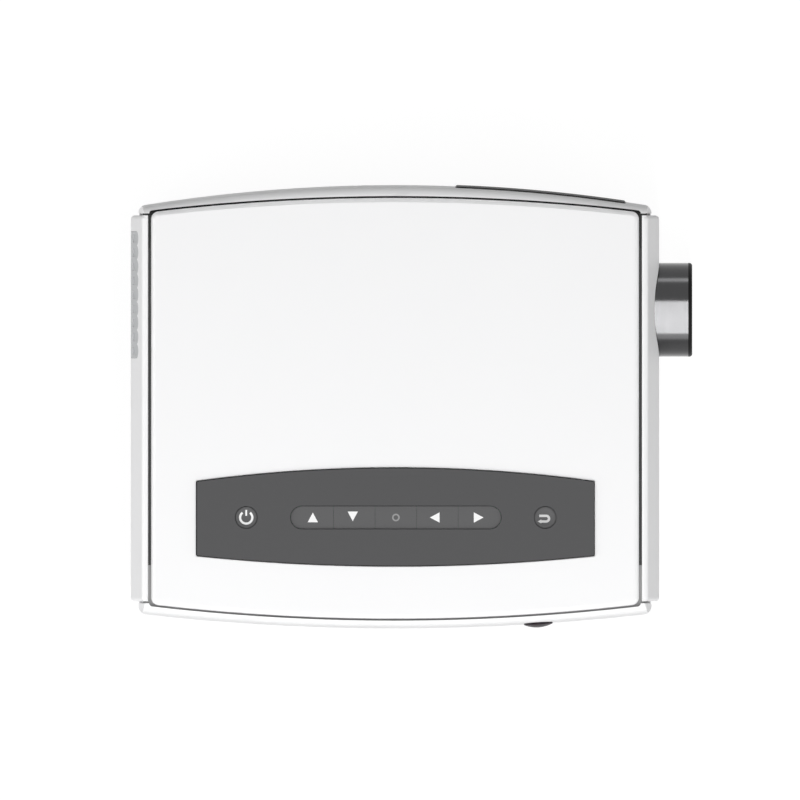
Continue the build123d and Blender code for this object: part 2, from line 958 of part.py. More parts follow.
def mount_inserts():
    inserts = []
    for x, y in insert_places():
        sleeve = bar(insert_bore + insert_wall, (x, y, foot_height), insert_length)
        inserts.append(sleeve - bar(insert_bore, (x, y, 0), body_height))
    return joined(inserts)


# ------------------------------------------------------------------ end panels


grille_low_z = lens_z - grille_drop
grille_shoulder_z = lens_z + grille_rise


def lens_end_panel():
    panel = shell & end_region()
    hole = bar(lens_hole_radius, (0, lens_y, lens_z), beyond, ALONG_X)
    bevel_start = end_x - lens_hole_bevel
    bevel = Pos(bevel_start, lens_y, lens_z) * ALONG_X * Cone(
        lens_hole_radius,
        lens_hole_radius + 2 * lens_hole_bevel,
        2 * lens_hole_bevel,
        align=(Align.CENTER, Align.CENTER, Align.MIN),
    )
    return panel - hole - bevel


def grille_outline(grow):
    """The grille's outline in the end wall, with one round scallop above each vane."""
    half = grille_vanes * grille_pitch / 2
    low = (grille_low_z - grow, grille_shoulder_z)
    frame = block((-beyond, 0), about(grille_y, 2 * (half + grow)), low)
    scallops = []
    for vane in range(grille_vanes):
        y = grille_y - half + grille_pitch * (vane + 0.5)
        scallop = bar(grille_pitch / 2 + grow, (-beyond, y, grille_shoulder_z), beyond, ALONG_X)
        scallops.append(scallop)
    return joined([frame] + scallops)


def inlet_hole(grow):
    return block(
        (-beyond, 0),
        about(inlet_y, inlet_width + 2 * grow),
        about(inlet_z, inlet_height + 2 * grow),
    )


def grille_end_panel():
    panel = shell & mirror(end_region(), Plane.YZ)
    return panel - grille_outline(grille_fit) - inlet_hole(inlet_gap)


def grille_slots(low_z, high_z):
    """Slots through the end wall between two heights, each with a round top."""
    first_y = grille_y - (grille_vanes - 1) * grille_pitch / 2
    slots = []
    for vane in range(grille_vanes):
        y = first_y + grille_pitch * vane
        slots.append(block((-beyond, 0), about(y, grille_slot), (low_z, high_z)))
        slots.append(bar(grille_slot / 2, (-beyond, y, high_z), beyond, ALONG_X))
    return joined(slots)


def exhaust_grille():
    skin = shell & mirror(end_region(), Plane.YZ)
    grille = skin & grille_outline(0)
    low = grille_low_z + grille_margin
    slot_top = lean_z - grille_slot
    grille -= grille_slots(low, slot_top)
    groove_low = lean_z + grille_slot
    grille -= grille_slots(groove_low, grille_shoulder_z) - cheek_form(grille_groove)
    bars = block(
        (-end_x + wall / 3, -end_x + wall),
        about(grille_y, (grille_vanes - 1) * grille_pitch),
        about((low + slot_top) / 2, grille_slot / 2),
    )
    return grille + bars


def ac_inlet():
    front = -end_x + inlet_sink
    body = block(
        (front, front + inlet_depth),
        about(inlet_y, inlet_width),
        about(inlet_z, inlet_height),
    )
    body = fillet(body.edges().filter_by(Axis.X), inlet_height / 6)
    clip_x = -end_x + wall + shell_fit
    body += block(
        (clip_x, clip_x + inlet_clip),
        about(inlet_y, inlet_width + 4 * inlet_clip),
        about(inlet_z, inlet_height),
    )
    half = (inlet_cavity_width - inlet_cavity_height) / 2
    cavity_start = (front - 1, inlet_y - half, inlet_z)
    other_start = (front - 1, inlet_y + half, inlet_z)
    depth = inlet_cavity_depth + 1
    cup = bar(inlet_cavity_height / 2, cavity_start, depth, ALONG_X)
    cup += bar(inlet_cavity_height / 2, other_start, depth, ALONG_X)
    cup += block(
        (front - 1, front + inlet_cavity_depth),
        about(inlet_y, 2 * half),
        about(inlet_z, inlet_cavity_height - 1),
    )
    body -= cup
    for y in about(inlet_y, inlet_pin_spacing):
        pin_start = (front + inlet_pin_short, y, inlet_z)
        body += bar(inlet_pin_radius, pin_start, inlet_cavity_depth, ALONG_X)
    return body


# ----------------------------------------------------------------- side panels

plate_centre_x = (plate_x_low + plate_x_high) / 2
plate_turn = math.degrees(math.asin(plate_centre_x / port_bow))
plate_centre_y = port_reach - bow_drop(port_bow, plate_centre_x)
# Local frame of the socket board: x along the wall, y out of it, z up
socket_frame = Pos(plate_centre_x, plate_centre_y, 0) * Rot(0, 0, -plate_turn)
board_face = -board_setback + board_thickness
socket_front = -socket_sink


def plate_prism(grow):
    width = plate_width + 2 * grow
    tall = plate_high_z - plate_low_z + 2 * grow
    middle_z = (plate_low_z + plate_high_z) / 2
    outline = Pos(plate_centre_x, middle_z) * RectangleRounded(width, tall, plate_corner + grow)
    opening = extrude(Plane.XZ * outline, -beyond)
    return opening & block((-beyond, beyond), (port_reach / 2, beyond), (0, beyond))


def port_plate():
    proud = bowed_side(port_reach, port_bow, -plate_proud)
    inner = bowed_side(port_reach, port_bow, wall)
    plate = (proud - inner) & plate_prism(0)
    outer_edges = []
    for face in plate.faces():
        facing = face.normal_at()
        if facing.Y > abs(facing.X) + abs(facing.Z):
            outer_edges += face.edges()
    rim = [edge for edge in outer_edges if outer_edges.count(edge) == 1]
    plate = chamfer(rim, plate_bevel)
    return plate - socket_holes(socket_gap)


def local_block(x, y, z):
    return socket_frame * block(x, y, z)


def local_bar(radius, x, y, z, length):
    return socket_frame * bar(radius, (x, y, z), length, ALONG_Y)


def socket_holes(grow):
    """Holes through the dark plate, one for each socket."""
    depth = (-2 * wall - board_setback / 2, board_setback)
    square = [(x, upper_row_z, hdmi_width, hdmi_height) for x in hdmi_places]
    square += [(x, upper_row_z, usb_width, usb_height) for x in usb_places]
    square.append((vga_place, lower_row_z, vga_width, vga_height))
    square.append((slot_place, lower_row_z, slot_width, slot_height))
    rounds = [(x, vga_post_radius) for x in about(vga_place, vga_post_spacing)]
    rounds += [(x, jack_radius) for x in jack_places]
    holes = []
    for x, z, width, height in square:
        holes.append(local_block(about(x, width + 2 * grow), depth, about(z, height + 2 * grow)))
    for x, radius in rounds:
        reach = 2 * board_setback
        holes.append(local_bar(radius + grow, x, -board_setback, lower_row_z, reach))
    return joined(holes)


def socket_shell(x, z, width, height, tongue):
    """A socket's sheet shell, closed behind, with its tongue inside."""
    shell_box = local_block(about(x, width), (board_face, socket_front), about(z, height))
    hollow = local_block(
        about(x, width - 2 * socket_skin),
        (board_face + socket_bottom, 0),
        about(z, height - 2 * socket_skin),
    )
    blade = local_block(
        about(x, width - 2 * socket_skin - 2 * tongue_side),
        (board_face + socket_bottom / 2, socket_front - tongue_sink),
        about(z, tongue),
    )
    return shell_box - hollow + blade


def socket_row(places, width, height, tongue):
    return joined([socket_shell(x, upper_row_z, width, height, tongue) for x in places])


def vga_socket():
    flange = local_block(
        about(vga_place, vga_flange_width),
        (board_face, socket_front - vga_flange_sink),
        about(lower_row_z, vga_flange_height),
    )
    shell_box = local_block(
        about(vga_place, vga_width),
        (board_face, socket_front),
        about(lower_row_z, vga_height),
    )
    hollow = local_block(
        about(vga_place, vga_width - 2 * socket_skin),
        (socket_front - vga_face_sink, 0),
        about(lower_row_z, vga_height - 2 * socket_skin),
    )
    body = flange + (shell_box - hollow)
    for row in (-1, 0, 1):
        for column in (-2, -1, 0, 1, 2):
            x = vga_place + column * vga_pitch
            z = lower_row_z + row * vga_pitch
            body -= local_bar(vga_pin_radius, x, socket_front - 2 * vga_face_sink, z, board_setback)
    for x in about(vga_place, vga_post_spacing):
        length = socket_front - board_face
        body += local_bar(vga_post_radius, x, board_face, lower_row_z, length)
    return body


def audio_jacks():
    jacks = []
    for x in jack_places:
        housing = local_block(
            about(x, jack_body),
            (board_face, socket_front - vga_flange_sink),
            about(lower_row_z, jack_body),
        )
        collar = local_bar(jack_radius, x, board_face, lower_row_z, socket_front - board_face)
        bore = local_bar(jack_bore, x, socket_front - jack_depth, lower_row_z, board_setback)
        jacks.append(housing + collar - bore)
    return joined(jacks)


def main_board():
    board = local_block(
        (board_x_low, board_x_high),
        (-board_setback, board_face),
        (board_low_z, board_high_z),
    )
    card = local_block(
        about(slot_place, slot_width),
        (board_face, socket_front),
        about(lower_row_z, slot_height),
    )
    card -= local_block(
        about(slot_place, slot_width - 2 * socket_skin),
        (board_face + socket_bottom, 0),
        about(lower_row_z, slot_height - 2 * socket_skin),
    )
    pieces = [board, card]
    middle_z = (board_low_z + board_high_z) / 2
    for x, side in chip_places:
        pieces.append(
            local_block(
                about(x, side),
                (-board_setback - chip_thickness, -board_setback),
                about(middle_z, side),
            )
        )
    return joined(pieces)


def board_boss_places():
    z = board_high_z - 2 * boss_small
    return [(x, z) for x in (board_x_low + 2 * boss_small, board_x_high - 2 * boss_small)]


def side_region(sign):
    """What belongs to one long side: outside the cover's outline, past the end panels."""
    far_side = sorted((sign * (cheek_half + seam), sign * beyond))
    region = block((-beyond, beyond), far_side, (pan_z + seam, beyond))
    return region - prism(side_plan, seam, ceiling_z - cover_skirt - seam)


def port_side_panel():
    panel = shell & side_region(1)
    panel -= plate_prism(plate_gap)
    for x, z in board_boss_places():
        boss = local_bar(boss_small, x, board_face, z, board_setback)
        panel += boss & (outer - plate_prism(plate_gap))
    return panel


def wall_y(x):
    """The outer face of the tray side at x, where it stands upright."""
    return -(tray_reach - bow_drop(tray_bow, x))


# Local frame of the remote-control window: -y points out of the bowed wall, z up
window_turn = math.degrees(math.asin(window_x / tray_bow))
window_frame = Pos(window_x, wall_y(window_x), window_z) * Rot(0, 0, window_turn)


def speaker_slot_cuts(x):
    """Upright slots in front of a speaker, shorter towards the edge of its round cone."""
    pitch = 2 * speaker_slot_span / (speaker_slots - 1)
    cuts = []
    for slot in range(speaker_slots):
        away = slot * pitch - speaker_slot_span
        chord = 2 * math.sqrt(speaker_slot_reach**2 - away**2)
        width = about(x + away, speaker_slot_width)
        cuts.append(block(width, (-beyond, wall_y(x) + 2 * wall), about(speaker_z, chord)))
    return joined(cuts)


def speaker_front(x):
    return wall_y(x) + speaker_setback


def speaker_collar(x):
    """A square collar on the wall that the speaker's plate sits in."""
    side = speaker_side + 2 * (collar_fit + collar_wall)
    depth = (-beyond, speaker_front(x) + speaker_plate)
    collar = block(about(x, side), depth, about(speaker_z, side))
    collar -= block(
        about(x, speaker_side + 2 * collar_fit),
        (-beyond, beyond),
        about(speaker_z, speaker_side + 2 * collar_fit),
    )
    return collar


def bezel_prism(grow):
    return block(
        about(drive_x, 2 * (bezel_half + grow)),
        (-beyond, tray_front),
        (drive_bottom + bezel_margin - grow, drive_top - bezel_margin + grow),
    )


def tray_side_panel():
    panel = shell & side_region(-1)
    for x in (-speaker_x, speaker_x):
        panel += speaker_collar(x) & cavity & side_room
        panel -= speaker_slot_cuts(x)
    panel -= bezel_prism(bezel_gap)
    hole_start = (0, -2 * wall, 0)
    return panel - window_frame * bar(window_radius + window_fit, hole_start, 4 * wall, ALONG_Y)


# Room for the collars between the frame's parts: below its ring and above the pan's lip
side_room = block(
    (-beyond, beyond),
    (-beyond, 0),
    (pan_z + lip_height + seam, ceiling_z - ring_depth - seam),
)


def speakers():
    units = []
    for x in (-speaker_x, speaker_x):
        front = speaker_front(x)
        plate = block(
            about(x, speaker_side),
            (front, front + speaker_plate),
            about(speaker_z, speaker_side),
        )
        basket_start = (x, front + speaker_plate, speaker_z)
        basket = Pos(*basket_start) * ALONG_Y * Cone(
            basket_radius,
            magnet_radius - 1,
            basket_depth,
            align=(Align.CENTER, Align.CENTER, Align.MIN),
        )
        magnet_start = (x, front + speaker_plate + basket_depth, speaker_z)
        magnet = bar(magnet_radius, magnet_start, magnet_depth, ALONG_Y)
        cone = Pos(x, front, speaker_z) * ALONG_Y * Cone(
            cone_radius,
            cone_cap_radius,
            cone_depth,
            align=(Align.CENTER, Align.CENTER, Align.MIN),
        )
        cap_radius = cone_cap_radius * 1.2
        cap = Pos(x, front + cone_depth, speaker_z) * Sphere(cap_radius)
        cap &= block((-beyond, beyond), (-beyond, front + cone_depth + 1), (0, beyond))
        units.append(plate + basket + magnet - cone + cap)
    return joined(units)


def ir_window():
    """A round window whose face crowns outwards, with a rim behind the wall."""
    back = wall + window_collar + window_rim
    dome = crowned_disc(window_radius, back + window_collar + window_crown, window_crown)
    rim = bar(window_radius + window_rim, (0, back, 0), window_rim, ALONG_Y)
    return window_frame * (Pos(0, back, 0) * Rot(90, 0, 0) * dome + rim)


def ir_receiver():
    back = wall + window_collar + eye_gap
    board = block(
        about(0, eye_board_width),
        (back, back + board_thickness),
        about(0, eye_board_tall),
    )
    return window_frame * (board + Pos(0, back, 0) * Sphere(eye_radius))


# ------------------------------------------------------------------------ lens

front_x = end_x + lens_proud
ring_low_x = end_x - ring_start
rim_low_x = front_x - rim_depth
tube_end_x = front_x - mount_tube_short
barrel_front_x = rim_low_x - focus_travel - barrel_gap
barrel_back_x = barrel_front_x - barrel_length
barrel_radius = mount_tube_bore - slide_fit
barrel_bore = barrel_radius - barrel_wall


def lens_bar(radius, x, length):
    """A round bar on the lens's axis."""
    return bar(radius, (x, lens_y, lens_z), length, ALONG_X)


def focus_ring():
    ring = lens_bar(ring_radius, ring_low_x, rim_low_x - ring_low_x)
    return ring - lens_bar(mount_tube_radius + slide_fit, 0, 2 * end_x)


def lens_rim():
    rim = lens_bar(ring_radius, rim_low_x, rim_depth)
    rim = fillet(rim.edges().sort_by(Axis.X)[-1], rim_round)
    opening = Pos(rim_low_x, lens_y, lens_z) * ALONG_X * Cone(
        rim_opening,
        rim_opening + rim_depth,
        rim_depth,
        align=(Align.CENTER, Align.CENTER, Align.MIN),
    )
    return rim - opening


def lens_mount():
    flange = block(
        (cone_end_x, cone_end_x + mount_flange_thickness),
        about(lens_y, mount_flange_side),
        about(lens_z, mount_flange_side),
    )
    tube = lens_bar(mount_tube_radius, cone_end_x, tube_end_x - cone_end_x)
    collar_x = ring_low_x - slide_fit - mount_collar_width
    collar = lens_bar(mount_collar_radius, collar_x, mount_collar_width)
    return flange + tube + collar - lens_bar(mount_tube_bore, 0, 2 * end_x)


def lens_barrel():
    barrel = lens_bar(barrel_radius, barrel_back_x, barrel_length)
    return barrel - lens_bar(barrel_bore, 0, 2 * end_x)


def lens_elements():
    radius = barrel_bore - slide_fit
    front_start = barrel_front_x - lens_inset - lens_thickness
    front = crowned_disc(radius, lens_thickness, lens_crown)
    rear = crowned_disc(radius, rear_lens_thickness, lens_crown)
    front = Pos(front_start, lens_y, lens_z) * ALONG_X * front
    rear = Pos(barrel_back_x + lens_inset, lens_y, lens_z) * ALONG_X * rear
    return joined([front, rear])


# ---------------------------------------------------------------------- optics


def light_face(x, width, tall):
    """A rectangle square to the light, at x."""
    plane = Plane(origin=(x, lens_y, lens_z), x_dir=(0, 1, 0), z_dir=(1, 0, 0))
    return plane * Rectangle(width, tall)


def tapered(x_low, low, x_high, high):
    """A solid that changes from one width and height to another along X."""
    return loft([light_face(x_low, *low), light_face(x_high, *high)], ruled=True)


def optic_plate(x, thickness):
    """A plate in the housing, whose middle is at x."""
    return block(
        about(x, thickness),
        about(lens_y, housing_width - 2 * housing_wall - 2 * plate_fit),
        about(lens_z, housing_tall - 2 * housing_wall - 2 * plate_fit),
    )


def plate_rib(x):
    """A frame inside the housing that a plate leans on."""
    width = housing_width - housing_wall
    tall = housing_tall - housing_wall
    frame = block(about(x, rib_thick), about(lens_y, width), about(lens_z, tall))
    clear_width = housing_width - 2 * (housing_wall + rib_tall)
    clear_tall = housing_tall - 2 * (housing_wall + rib_tall)
    return frame - block(about(x, 2 * rib_thick), about(lens_y, clear_width), about(lens_z, clear_tall))


def optics_housing():
    size = (housing_width, housing_tall)
    bore = (housing_width - 2 * housing_wall, housing_tall - 2 * housing_wall)
    end = (cone_end_side, cone_end_side)
    end_bore = (cone_end_side - 2 * housing_wall, cone_end_side - 2 * housing_wall)
    outside = tapered(housing_back_x, size, housing_front_x, size)
    outside += tapered(housing_front_x, size, cone_end_x, end)
    inside = tapered(housing_back_x - 1, bore, housing_front_x, bore)
    inside += tapered(housing_front_x, bore, cone_end_x, end_bore)
    housing = outside - inside
    plates = (
        (heat_glass_x, glass_thickness),
        (rear_fresnel_x, fresnel_thickness),
        (lcd_x, lcd_thickness),
        (front_fresnel_x, fresnel_thickness),
    )
    for x, thickness in plates:
        away = (thickness + rib_thick) / 2 + plate_fit
        housing += plate_rib(x - away)
        housing += plate_rib(x + away)
    return housing


def reflector():
    """The mirror funnel from the lamp to the housing."""
    start = housing_back_x - reflector_length
    mouth = (housing_width - 2 * housing_wall, housing_tall - 2 * housing_wall)
    throat = (reflector_throat, reflector_throat)
    wide_throat = [side + 2 * reflector_wall for side in throat]
    wide_mouth = [side + 2 * reflector_wall for side in mouth]
    outside = tapered(start, wide_throat, housing_back_x, wide_mouth)
    inside = tapered(start, throat, housing_back_x, mouth)
    return outside - inside


def led_module():
    plate = block(
        (led_x, led_x + led_plate_thickness),
        about(lens_y, led_plate_side),
        about(lens_z, led_plate_side),
    )
    chip_x = led_x + led_plate_thickness
    chip = block(
        (chip_x, chip_x + led_chip_thickness),
        about(lens_y, led_chip_side),
        about(lens_z, led_chip_side),
    )
    return plate + chip


def heat_sink():
    base_x = led_x - sink_base
    sink = block((base_x, led_x), about(lens_y, sink_width), about(lens_z, sink_tall))
    fins = int(sink_width / sink_fin_pitch)
    for fin in range(fins):
        y = lens_y + (fin - (fins - 1) / 2) * sink_fin_pitch
        sink += block(
            (base_x - sink_fin_length, base_x),
            about(y, sink_fin_thickness),
            about(lens_z, sink_tall),
        )
    return sink


# ------------------------------------------------------------------------- fan

fan_front_x = fan_back_x + fan_depth
rotor_back_x = fan_back_x + fan_hub_plate + fan_end_gap
axle_length = fan_depth - 3 * fan_end_gap


def fan_frame():
    frame = block((fan_back_x, fan_front_x), about(lens_y, fan_side), about(lens_z, fan_side))
    frame = fillet(frame.edges().filter_by(Axis.X), fan_corner_round)
    frame -= lens_bar(fan_duct_radius, fan_back_x - 1, fan_depth + 2)
    hub = lens_bar(fan_hub_radius, fan_back_x, fan_hub_plate)
    strut = block(
        (fan_back_x, fan_back_x + fan_hub_plate),
        about(0, fan_side - 2),
        about(0, fan_strut_width),
    )
    for turn in (45, 135):
        hub += Pos(0, lens_y, lens_z) * Rot(turn, 0, 0) * strut
    frame += hub
    for y in about(lens_y, fan_side - 2 * fan_hole_inset):
        for z in about(lens_z, fan_side - 2 * fan_hole_inset):
            frame -= bar(fan_hole_radius, (fan_back_x - 1, y, z), fan_depth + 2, ALONG_X)
    return frame + lens_bar(fan_axle_radius, fan_back_x, axle_length)


def fan_rotor():
    depth = fan_depth - fan_hub_plate - 2 * fan_end_gap
    hub = lens_bar(fan_hub_radius, rotor_back_x, depth)
    room = lens_bar(fan_duct_radius - fan_tip_gap, rotor_back_x, depth)
    room -= lens_bar(fan_hub_radius - 1, rotor_back_x, depth)
    blades = []
    for number in range(fan_blades):
        blade = block(about(0, 2 * depth), about(0, fan_blade_thickness), (0, fan_duct_radius))
        blade = Rot(360 / fan_blades * number, 0, 0) * Rot(0, 0, fan_blade_pitch) * blade
        blades.append(Pos(rotor_back_x + depth / 2, lens_y, lens_z) * blade & room)
    rotor = joined([hub] + blades)
    return rotor - lens_bar(fan_axle_radius + slide_fit, fan_back_x, axle_length + fan_end_gap / 2)


# ---------------------------------------------------------------- supply board


def psu_board():
    low = floor_z + supply_lift
    top = low + board_thickness
    board = block((supply_x_low, supply_x_high), (supply_y_low, supply_y_high), (low, top))
    middle_x = (supply_x_low + supply_x_high) / 2
    transformer = block(
        about(middle_x, transformer_side),
        about(supply_y_high - transformer_side, transformer_side),
        (top, top + transformer_height),
    )
    pieces = [board, transformer]
    for step in (1.5, 4):
        place = (supply_x_high - step * capacitor_radius, supply_y_low + 1.5 * capacitor_radius, top)
        pieces.append(bar(capacitor_radius, place, capacitor_height))
    fin = block(
        about(supply_x_high - supply_fin_thickness, supply_fin_thickness),
        about((supply_y_low + supply_y_high) / 2, supply_fin_length),
        (top, top + supply_fin_height),
    )
    pieces.append(fin)
    return joined(pieces)


# ------------------------------------------------------------------ disc drive

case_half = drive_width / 2
pickup_end = read_start + turret_radius + pickup_lip
rod_reach = pickup_end + read_travel + rod_over
tray_low = drive_bottom + drive_sheet + tray_lift
tray_top = tray_low + tray_thickness
recess_z = tray_top - disc_recess_depth
under_floor = recess_z - tray_floor
tray_half = tray_width / 2
rail_mid_z = (tray_low + tray_top) / 2
rail_in = tray_half + rail_gap
rail_out = rail_in + rail_width


def drive_case():
    inner = case_half - drive_sheet
    cover_z = drive_top - drive_sheet
    case = block(about(drive_x, drive_width), (drive_mouth, drive_back), (drive_bottom, cover_z))
    case -= block(
        about(drive_x, 2 * inner),
        (-beyond, drive_back - drive_sheet),
        (drive_bottom + drive_sheet, beyond),
    )
    for side in (-1, 1):
        guide_in = drive_x + side * (rail_in + rail_gap)
        guide_out = drive_x + side * (inner + drive_sheet / 2)
        for z in about(rail_mid_z, rail_height + 2 * rail_gap + guide_thickness):
            case += block(
                sorted((guide_in, guide_out)),
                (drive_mouth, drive_back),
                about(z, guide_thickness),
            )
    return case


def drive_cover():
    """The drive's lid, with two raised beads across it."""
    plate = block(
        about(drive_x, drive_width),
        (drive_mouth, drive_back),
        (drive_top - drive_sheet, drive_top),
    )
    bead_height = (drive_top, drive_top + drive_sheet / 2)
    for y in about((drive_mouth + drive_back) / 2, drive_back - drive_mouth - 6 * wall):
        plate += block(about(drive_x, drive_width / 2), about(y, wall), bead_height)
    return plate


def tray_rails():
    rails = []
    for side in (-1, 1):
        x = sorted((drive_x + side * rail_in, drive_x + side * rail_out))
        rails.append(block(x, (drive_mouth + 1, tray_back), about(rail_mid_z, rail_height)))
    return joined(rails)


def sledge(shape):
    """Places a shape drawn about the spindle, with +X as the reading direction."""
    return Pos(drive_x, disc_y, 0) * Rot(0, 0, sledge_turn) * shape


def eject_x():
    return drive_x + eject_offset


def disc_tray():
    tray = block(about(drive_x, tray_width), (tray_front, tray_back), (tray_low, tray_top))
    tray = fillet(tray.edges().filter_by(Axis.Z).sort_by(Axis.Y)[2:], tray_rim)
    tray -= bar(disc_recess_radius, (drive_x, disc_y, recess_z), tray_thickness)
    tray -= bar(inner_recess_radius, (drive_x, disc_y, recess_z - inner_recess_depth), tray_thickness)
    finger_x = drive_x + disc_recess_radius * math.cos(math.radians(sledge_turn))
    for x in (finger_x, 2 * drive_x - finger_x):
        y = disc_y - disc_recess_radius * math.sin(math.radians(sledge_turn))
        tray -= bar(finger_radius, (x, y, recess_z), tray_thickness)
    pocket_half = tray_half - tray_rim
    tray -= block(
        about(drive_x, 2 * pocket_half),
        (tray_front + 5 * tray_rim, tray_back - tray_rim),
        (tray_low - 1, under_floor - inner_recess_depth),
    )
    tray -= bar(hub_hole_radius, (drive_x, disc_y, 0), beyond)
    tray -= sledge(block((0, rod_reach), (-window_half, window_half), (tray_low - 1, recess_z)))
    pocket_height = eject_height + 2 * (eject_flange + eject_fit)
    pocket_depth = eject_flange + eject_travel + 2 * eject_fit
    tray -= block(
        about(eject_x(), eject_width + 2 * (eject_flange + eject_fit)),
        (tray_front - 1, tray_front + pocket_depth),
        about(rail_mid_z, pocket_height),
    )
    return tray


def tray_bezel():
    bezel = outer & bezel_prism(0)
    bezel -= block(
        about(eject_x(), eject_width + 2 * eject_fit),
        (-beyond, 0),
        about(rail_mid_z, eject_height + 2 * eject_fit),
    )
    return bezel - bar(pinhole_radius, (drive_x + pinhole_offset, -beyond, rail_mid_z), beyond, ALONG_Y)


def eject_button():
    face_y = wall_y(eject_x()) + eject_sink
    back_y = tray_front + eject_fit
    button = block(about(eject_x(), eject_width), (face_y, back_y), about(rail_mid_z, eject_height))
    button = fillet(button.edges().filter_by(Axis.Y), eject_height / 4)
    flange = block(
        about(eject_x(), eject_width + 2 * eject_flange),
        (back_y, back_y + eject_flange),
        about(rail_mid_z, eject_height + 2 * eject_flange),
    )
    return button + flange


motor_low = tray_low + motor_lift
motor_top = motor_low + motor_height
table_low = recess_z + table_lift


def drive_motors():
    """The spindle motor with the arm that holds it under the tray, and the sledge motor."""
    motor = bar(motor_radius, (0, 0, motor_low), motor_height)
    motor -= bar(spindle_radius + slide_fit, (0, 0, 0), beyond)
    arm_length = hub_hole_radius + 2 * tray_rim
    arm_top = under_floor - inner_recess_depth
    arms = block(
        (-arm_length, -motor_radius / 2),
        about(0, motor_radius),
        (arm_top - drive_sheet, arm_top),
    )
    arms += block((-motor_radius, 0), about(0, motor_radius / 2), (motor_low, arm_top))
    spindle = motor + (arms - bar(motor_radius - 1, (0, 0, 0), beyond))
    sledge_motor = block(
        (0, screw_motor_length),
        about(screw_offset, screw_motor_width),
        (pickup_low, pickup_top),
    )
    return sledge(joined([spindle, sledge_motor]))


def turntable():
    table = bar(table_radius, (0, 0, table_low), table_thickness)
    hub = bar(hub_radius, (0, 0, table_low), table_thickness + hub_height)
    hub = chamfer(hub.edges().sort_by(Axis.Z)[-1], hub_height / 5)
    spindle = bar(spindle_radius, (0, 0, motor_low + slide_fit), table_low - motor_low)
    boss = bar(2 * spindle_radius, (0, 0, motor_top + plate_fit), table_low - motor_top)
    return sledge(table + hub + spindle + boss)


pickup_low = tray_low + motor_lift
pickup_top = pickup_low + pickup_height
rod_z = pickup_low + pickup_height / 2


def optical_pickup():
    body = block(
        (pickup_end - pickup_length, pickup_end),
        (-pickup_half, pickup_half),
        (pickup_low, pickup_top),
    )
    body += bar(turret_radius, (read_start, 0, pickup_top), turret_height)
    body += bar(objective_radius, (read_start, 0, pickup_top + turret_height), plate_fit)
    for side in (-1, 1):
        body -= bar(rod_radius + slide_fit, (0, side * rod_offset, rod_z), beyond, ALONG_X)
    return sledge(body)


def sled_rods():
    start = motor_radius / 2
    rods = []
    for y in (-rod_offset, rod_offset):
        rods.append(bar(rod_radius, (start, y, rod_z), rod_reach - start, ALONG_X))
    return sledge(joined(rods))


def lead_screw():
    """The screw that drives the pickup, with a shallow round groove at each turn."""
    low_x = screw_motor_length + plate_fit
    length = rod_reach - low_x - 2 * screw_pitch
    shaft = bar(screw_shaft_radius, (low_x, screw_offset, rod_z), length, ALONG_X)
    core = bar(screw_shaft_radius - screw_groove, (0, screw_offset, rod_z), beyond, ALONG_X)
    for turn in range(1, int(length / screw_pitch)):
        place = (low_x + turn * screw_pitch, screw_offset, rod_z)
        shaft -= bar(2 * screw_shaft_radius, place, screw_pitch / 3, ALONG_X) - core
    return sledge(shaft)


def drive_board():
    corner_x = drive_x - tray_half + 2 * tray_rim
    corner_y = tray_front + 6 * tray_rim
    low = pickup_low
    board = block(
        (corner_x, corner_x + drive_board_width),
        (corner_y, corner_y + drive_board_depth),
        (low, low + drive_board_thickness),
    )
    chip = block(
        about(corner_x + drive_board_width / 2, drive_board_depth / 2),
        about(corner_y + drive_board_depth / 2, drive_board_depth / 2),
        (low, low + 2 * drive_board_thickness),
    )
    return board + chip


# --------------------------------------------------------------------- writing

pieces = {
    "base_pan": base_pan(),
    "top_cover": top_cover(),
    "mid_frame": mid_frame(),
    "lens_end_panel": lens_end_panel(),
    "grille_end_panel": grille_end_panel(),
    "port_side_panel": port_side_panel(),
    "tray_side_panel": tray_side_panel(),
    "control_panel": control_panel(),
    "port_plate": port_plate(),
    "exhaust_grille": exhaust_grille(),
    "ir_window": ir_window(),
    "ir_receiver": ir_receiver(),
    "key_board": key_board(),
    "power_key": round_key(power_x),
    "up_key": strip_key(-2),
    "down_key": strip_key(-1),
    "ok_key": strip_key(0),
    "left_key": strip_key(1),
    "right_key": strip_key(2),
    "return_key": round_key(return_x),
    "focus_ring": focus_ring(),
    "lens_rim": lens_rim(),
    "lens_barrel": lens_barrel(),
    "lens_elements": lens_elements(),
    "lens_mount": lens_mount(),
    "optics_housing": optics_housing(),
    "front_fresnel": optic_plate(front_fresnel_x, fresnel_thickness),
    "lcd_panel": optic_plate(lcd_x, lcd_thickness),
    "rear_fresnel": optic_plate(rear_fresnel_x, fresnel_thickness),
    "heat_glass": optic_plate(heat_glass_x, glass_thickness),
    "reflector": reflector(),
    "led_module": led_module(),
    "heat_sink": heat_sink(),
    "fan_frame": fan_frame(),
    "fan_rotor": fan_rotor(),
    "main_board": main_board(),
    "hdmi_sockets": socket_row(hdmi_places, hdmi_width, hdmi_height, hdmi_tongue),
    "usb_sockets": socket_row(usb_places, usb_width, usb_height, usb_tongue),
    "vga_socket": vga_socket(),
    "audio_jacks": audio_jacks(),
    "psu_board": psu_board(),
    "ac_inlet": ac_inlet(),
    "speakers": speakers(),
    "drive_case": drive_case(),
    "drive_cover": drive_cover(),
    "tray_rails": tray_rails(),
    "disc_tray": disc_tray(),
    "tray_bezel": tray_bezel(),
    "eject_button": eject_button(),
    "drive_motors": drive_motors(),
    "turntable": turntable(),
    "optical_pickup": optical_pickup(),
    "sled_rods": sled_rods(),
    "lead_screw": lead_screw(),
    "drive_board": drive_board(),
    "rubber_feet": rubber_feet(),
    "foot_wheel": foot_wheel(),
    "foot_stem": foot_stem(),
    "case_screws": case_screws(),
    "mount_inserts": mount_inserts(),
}

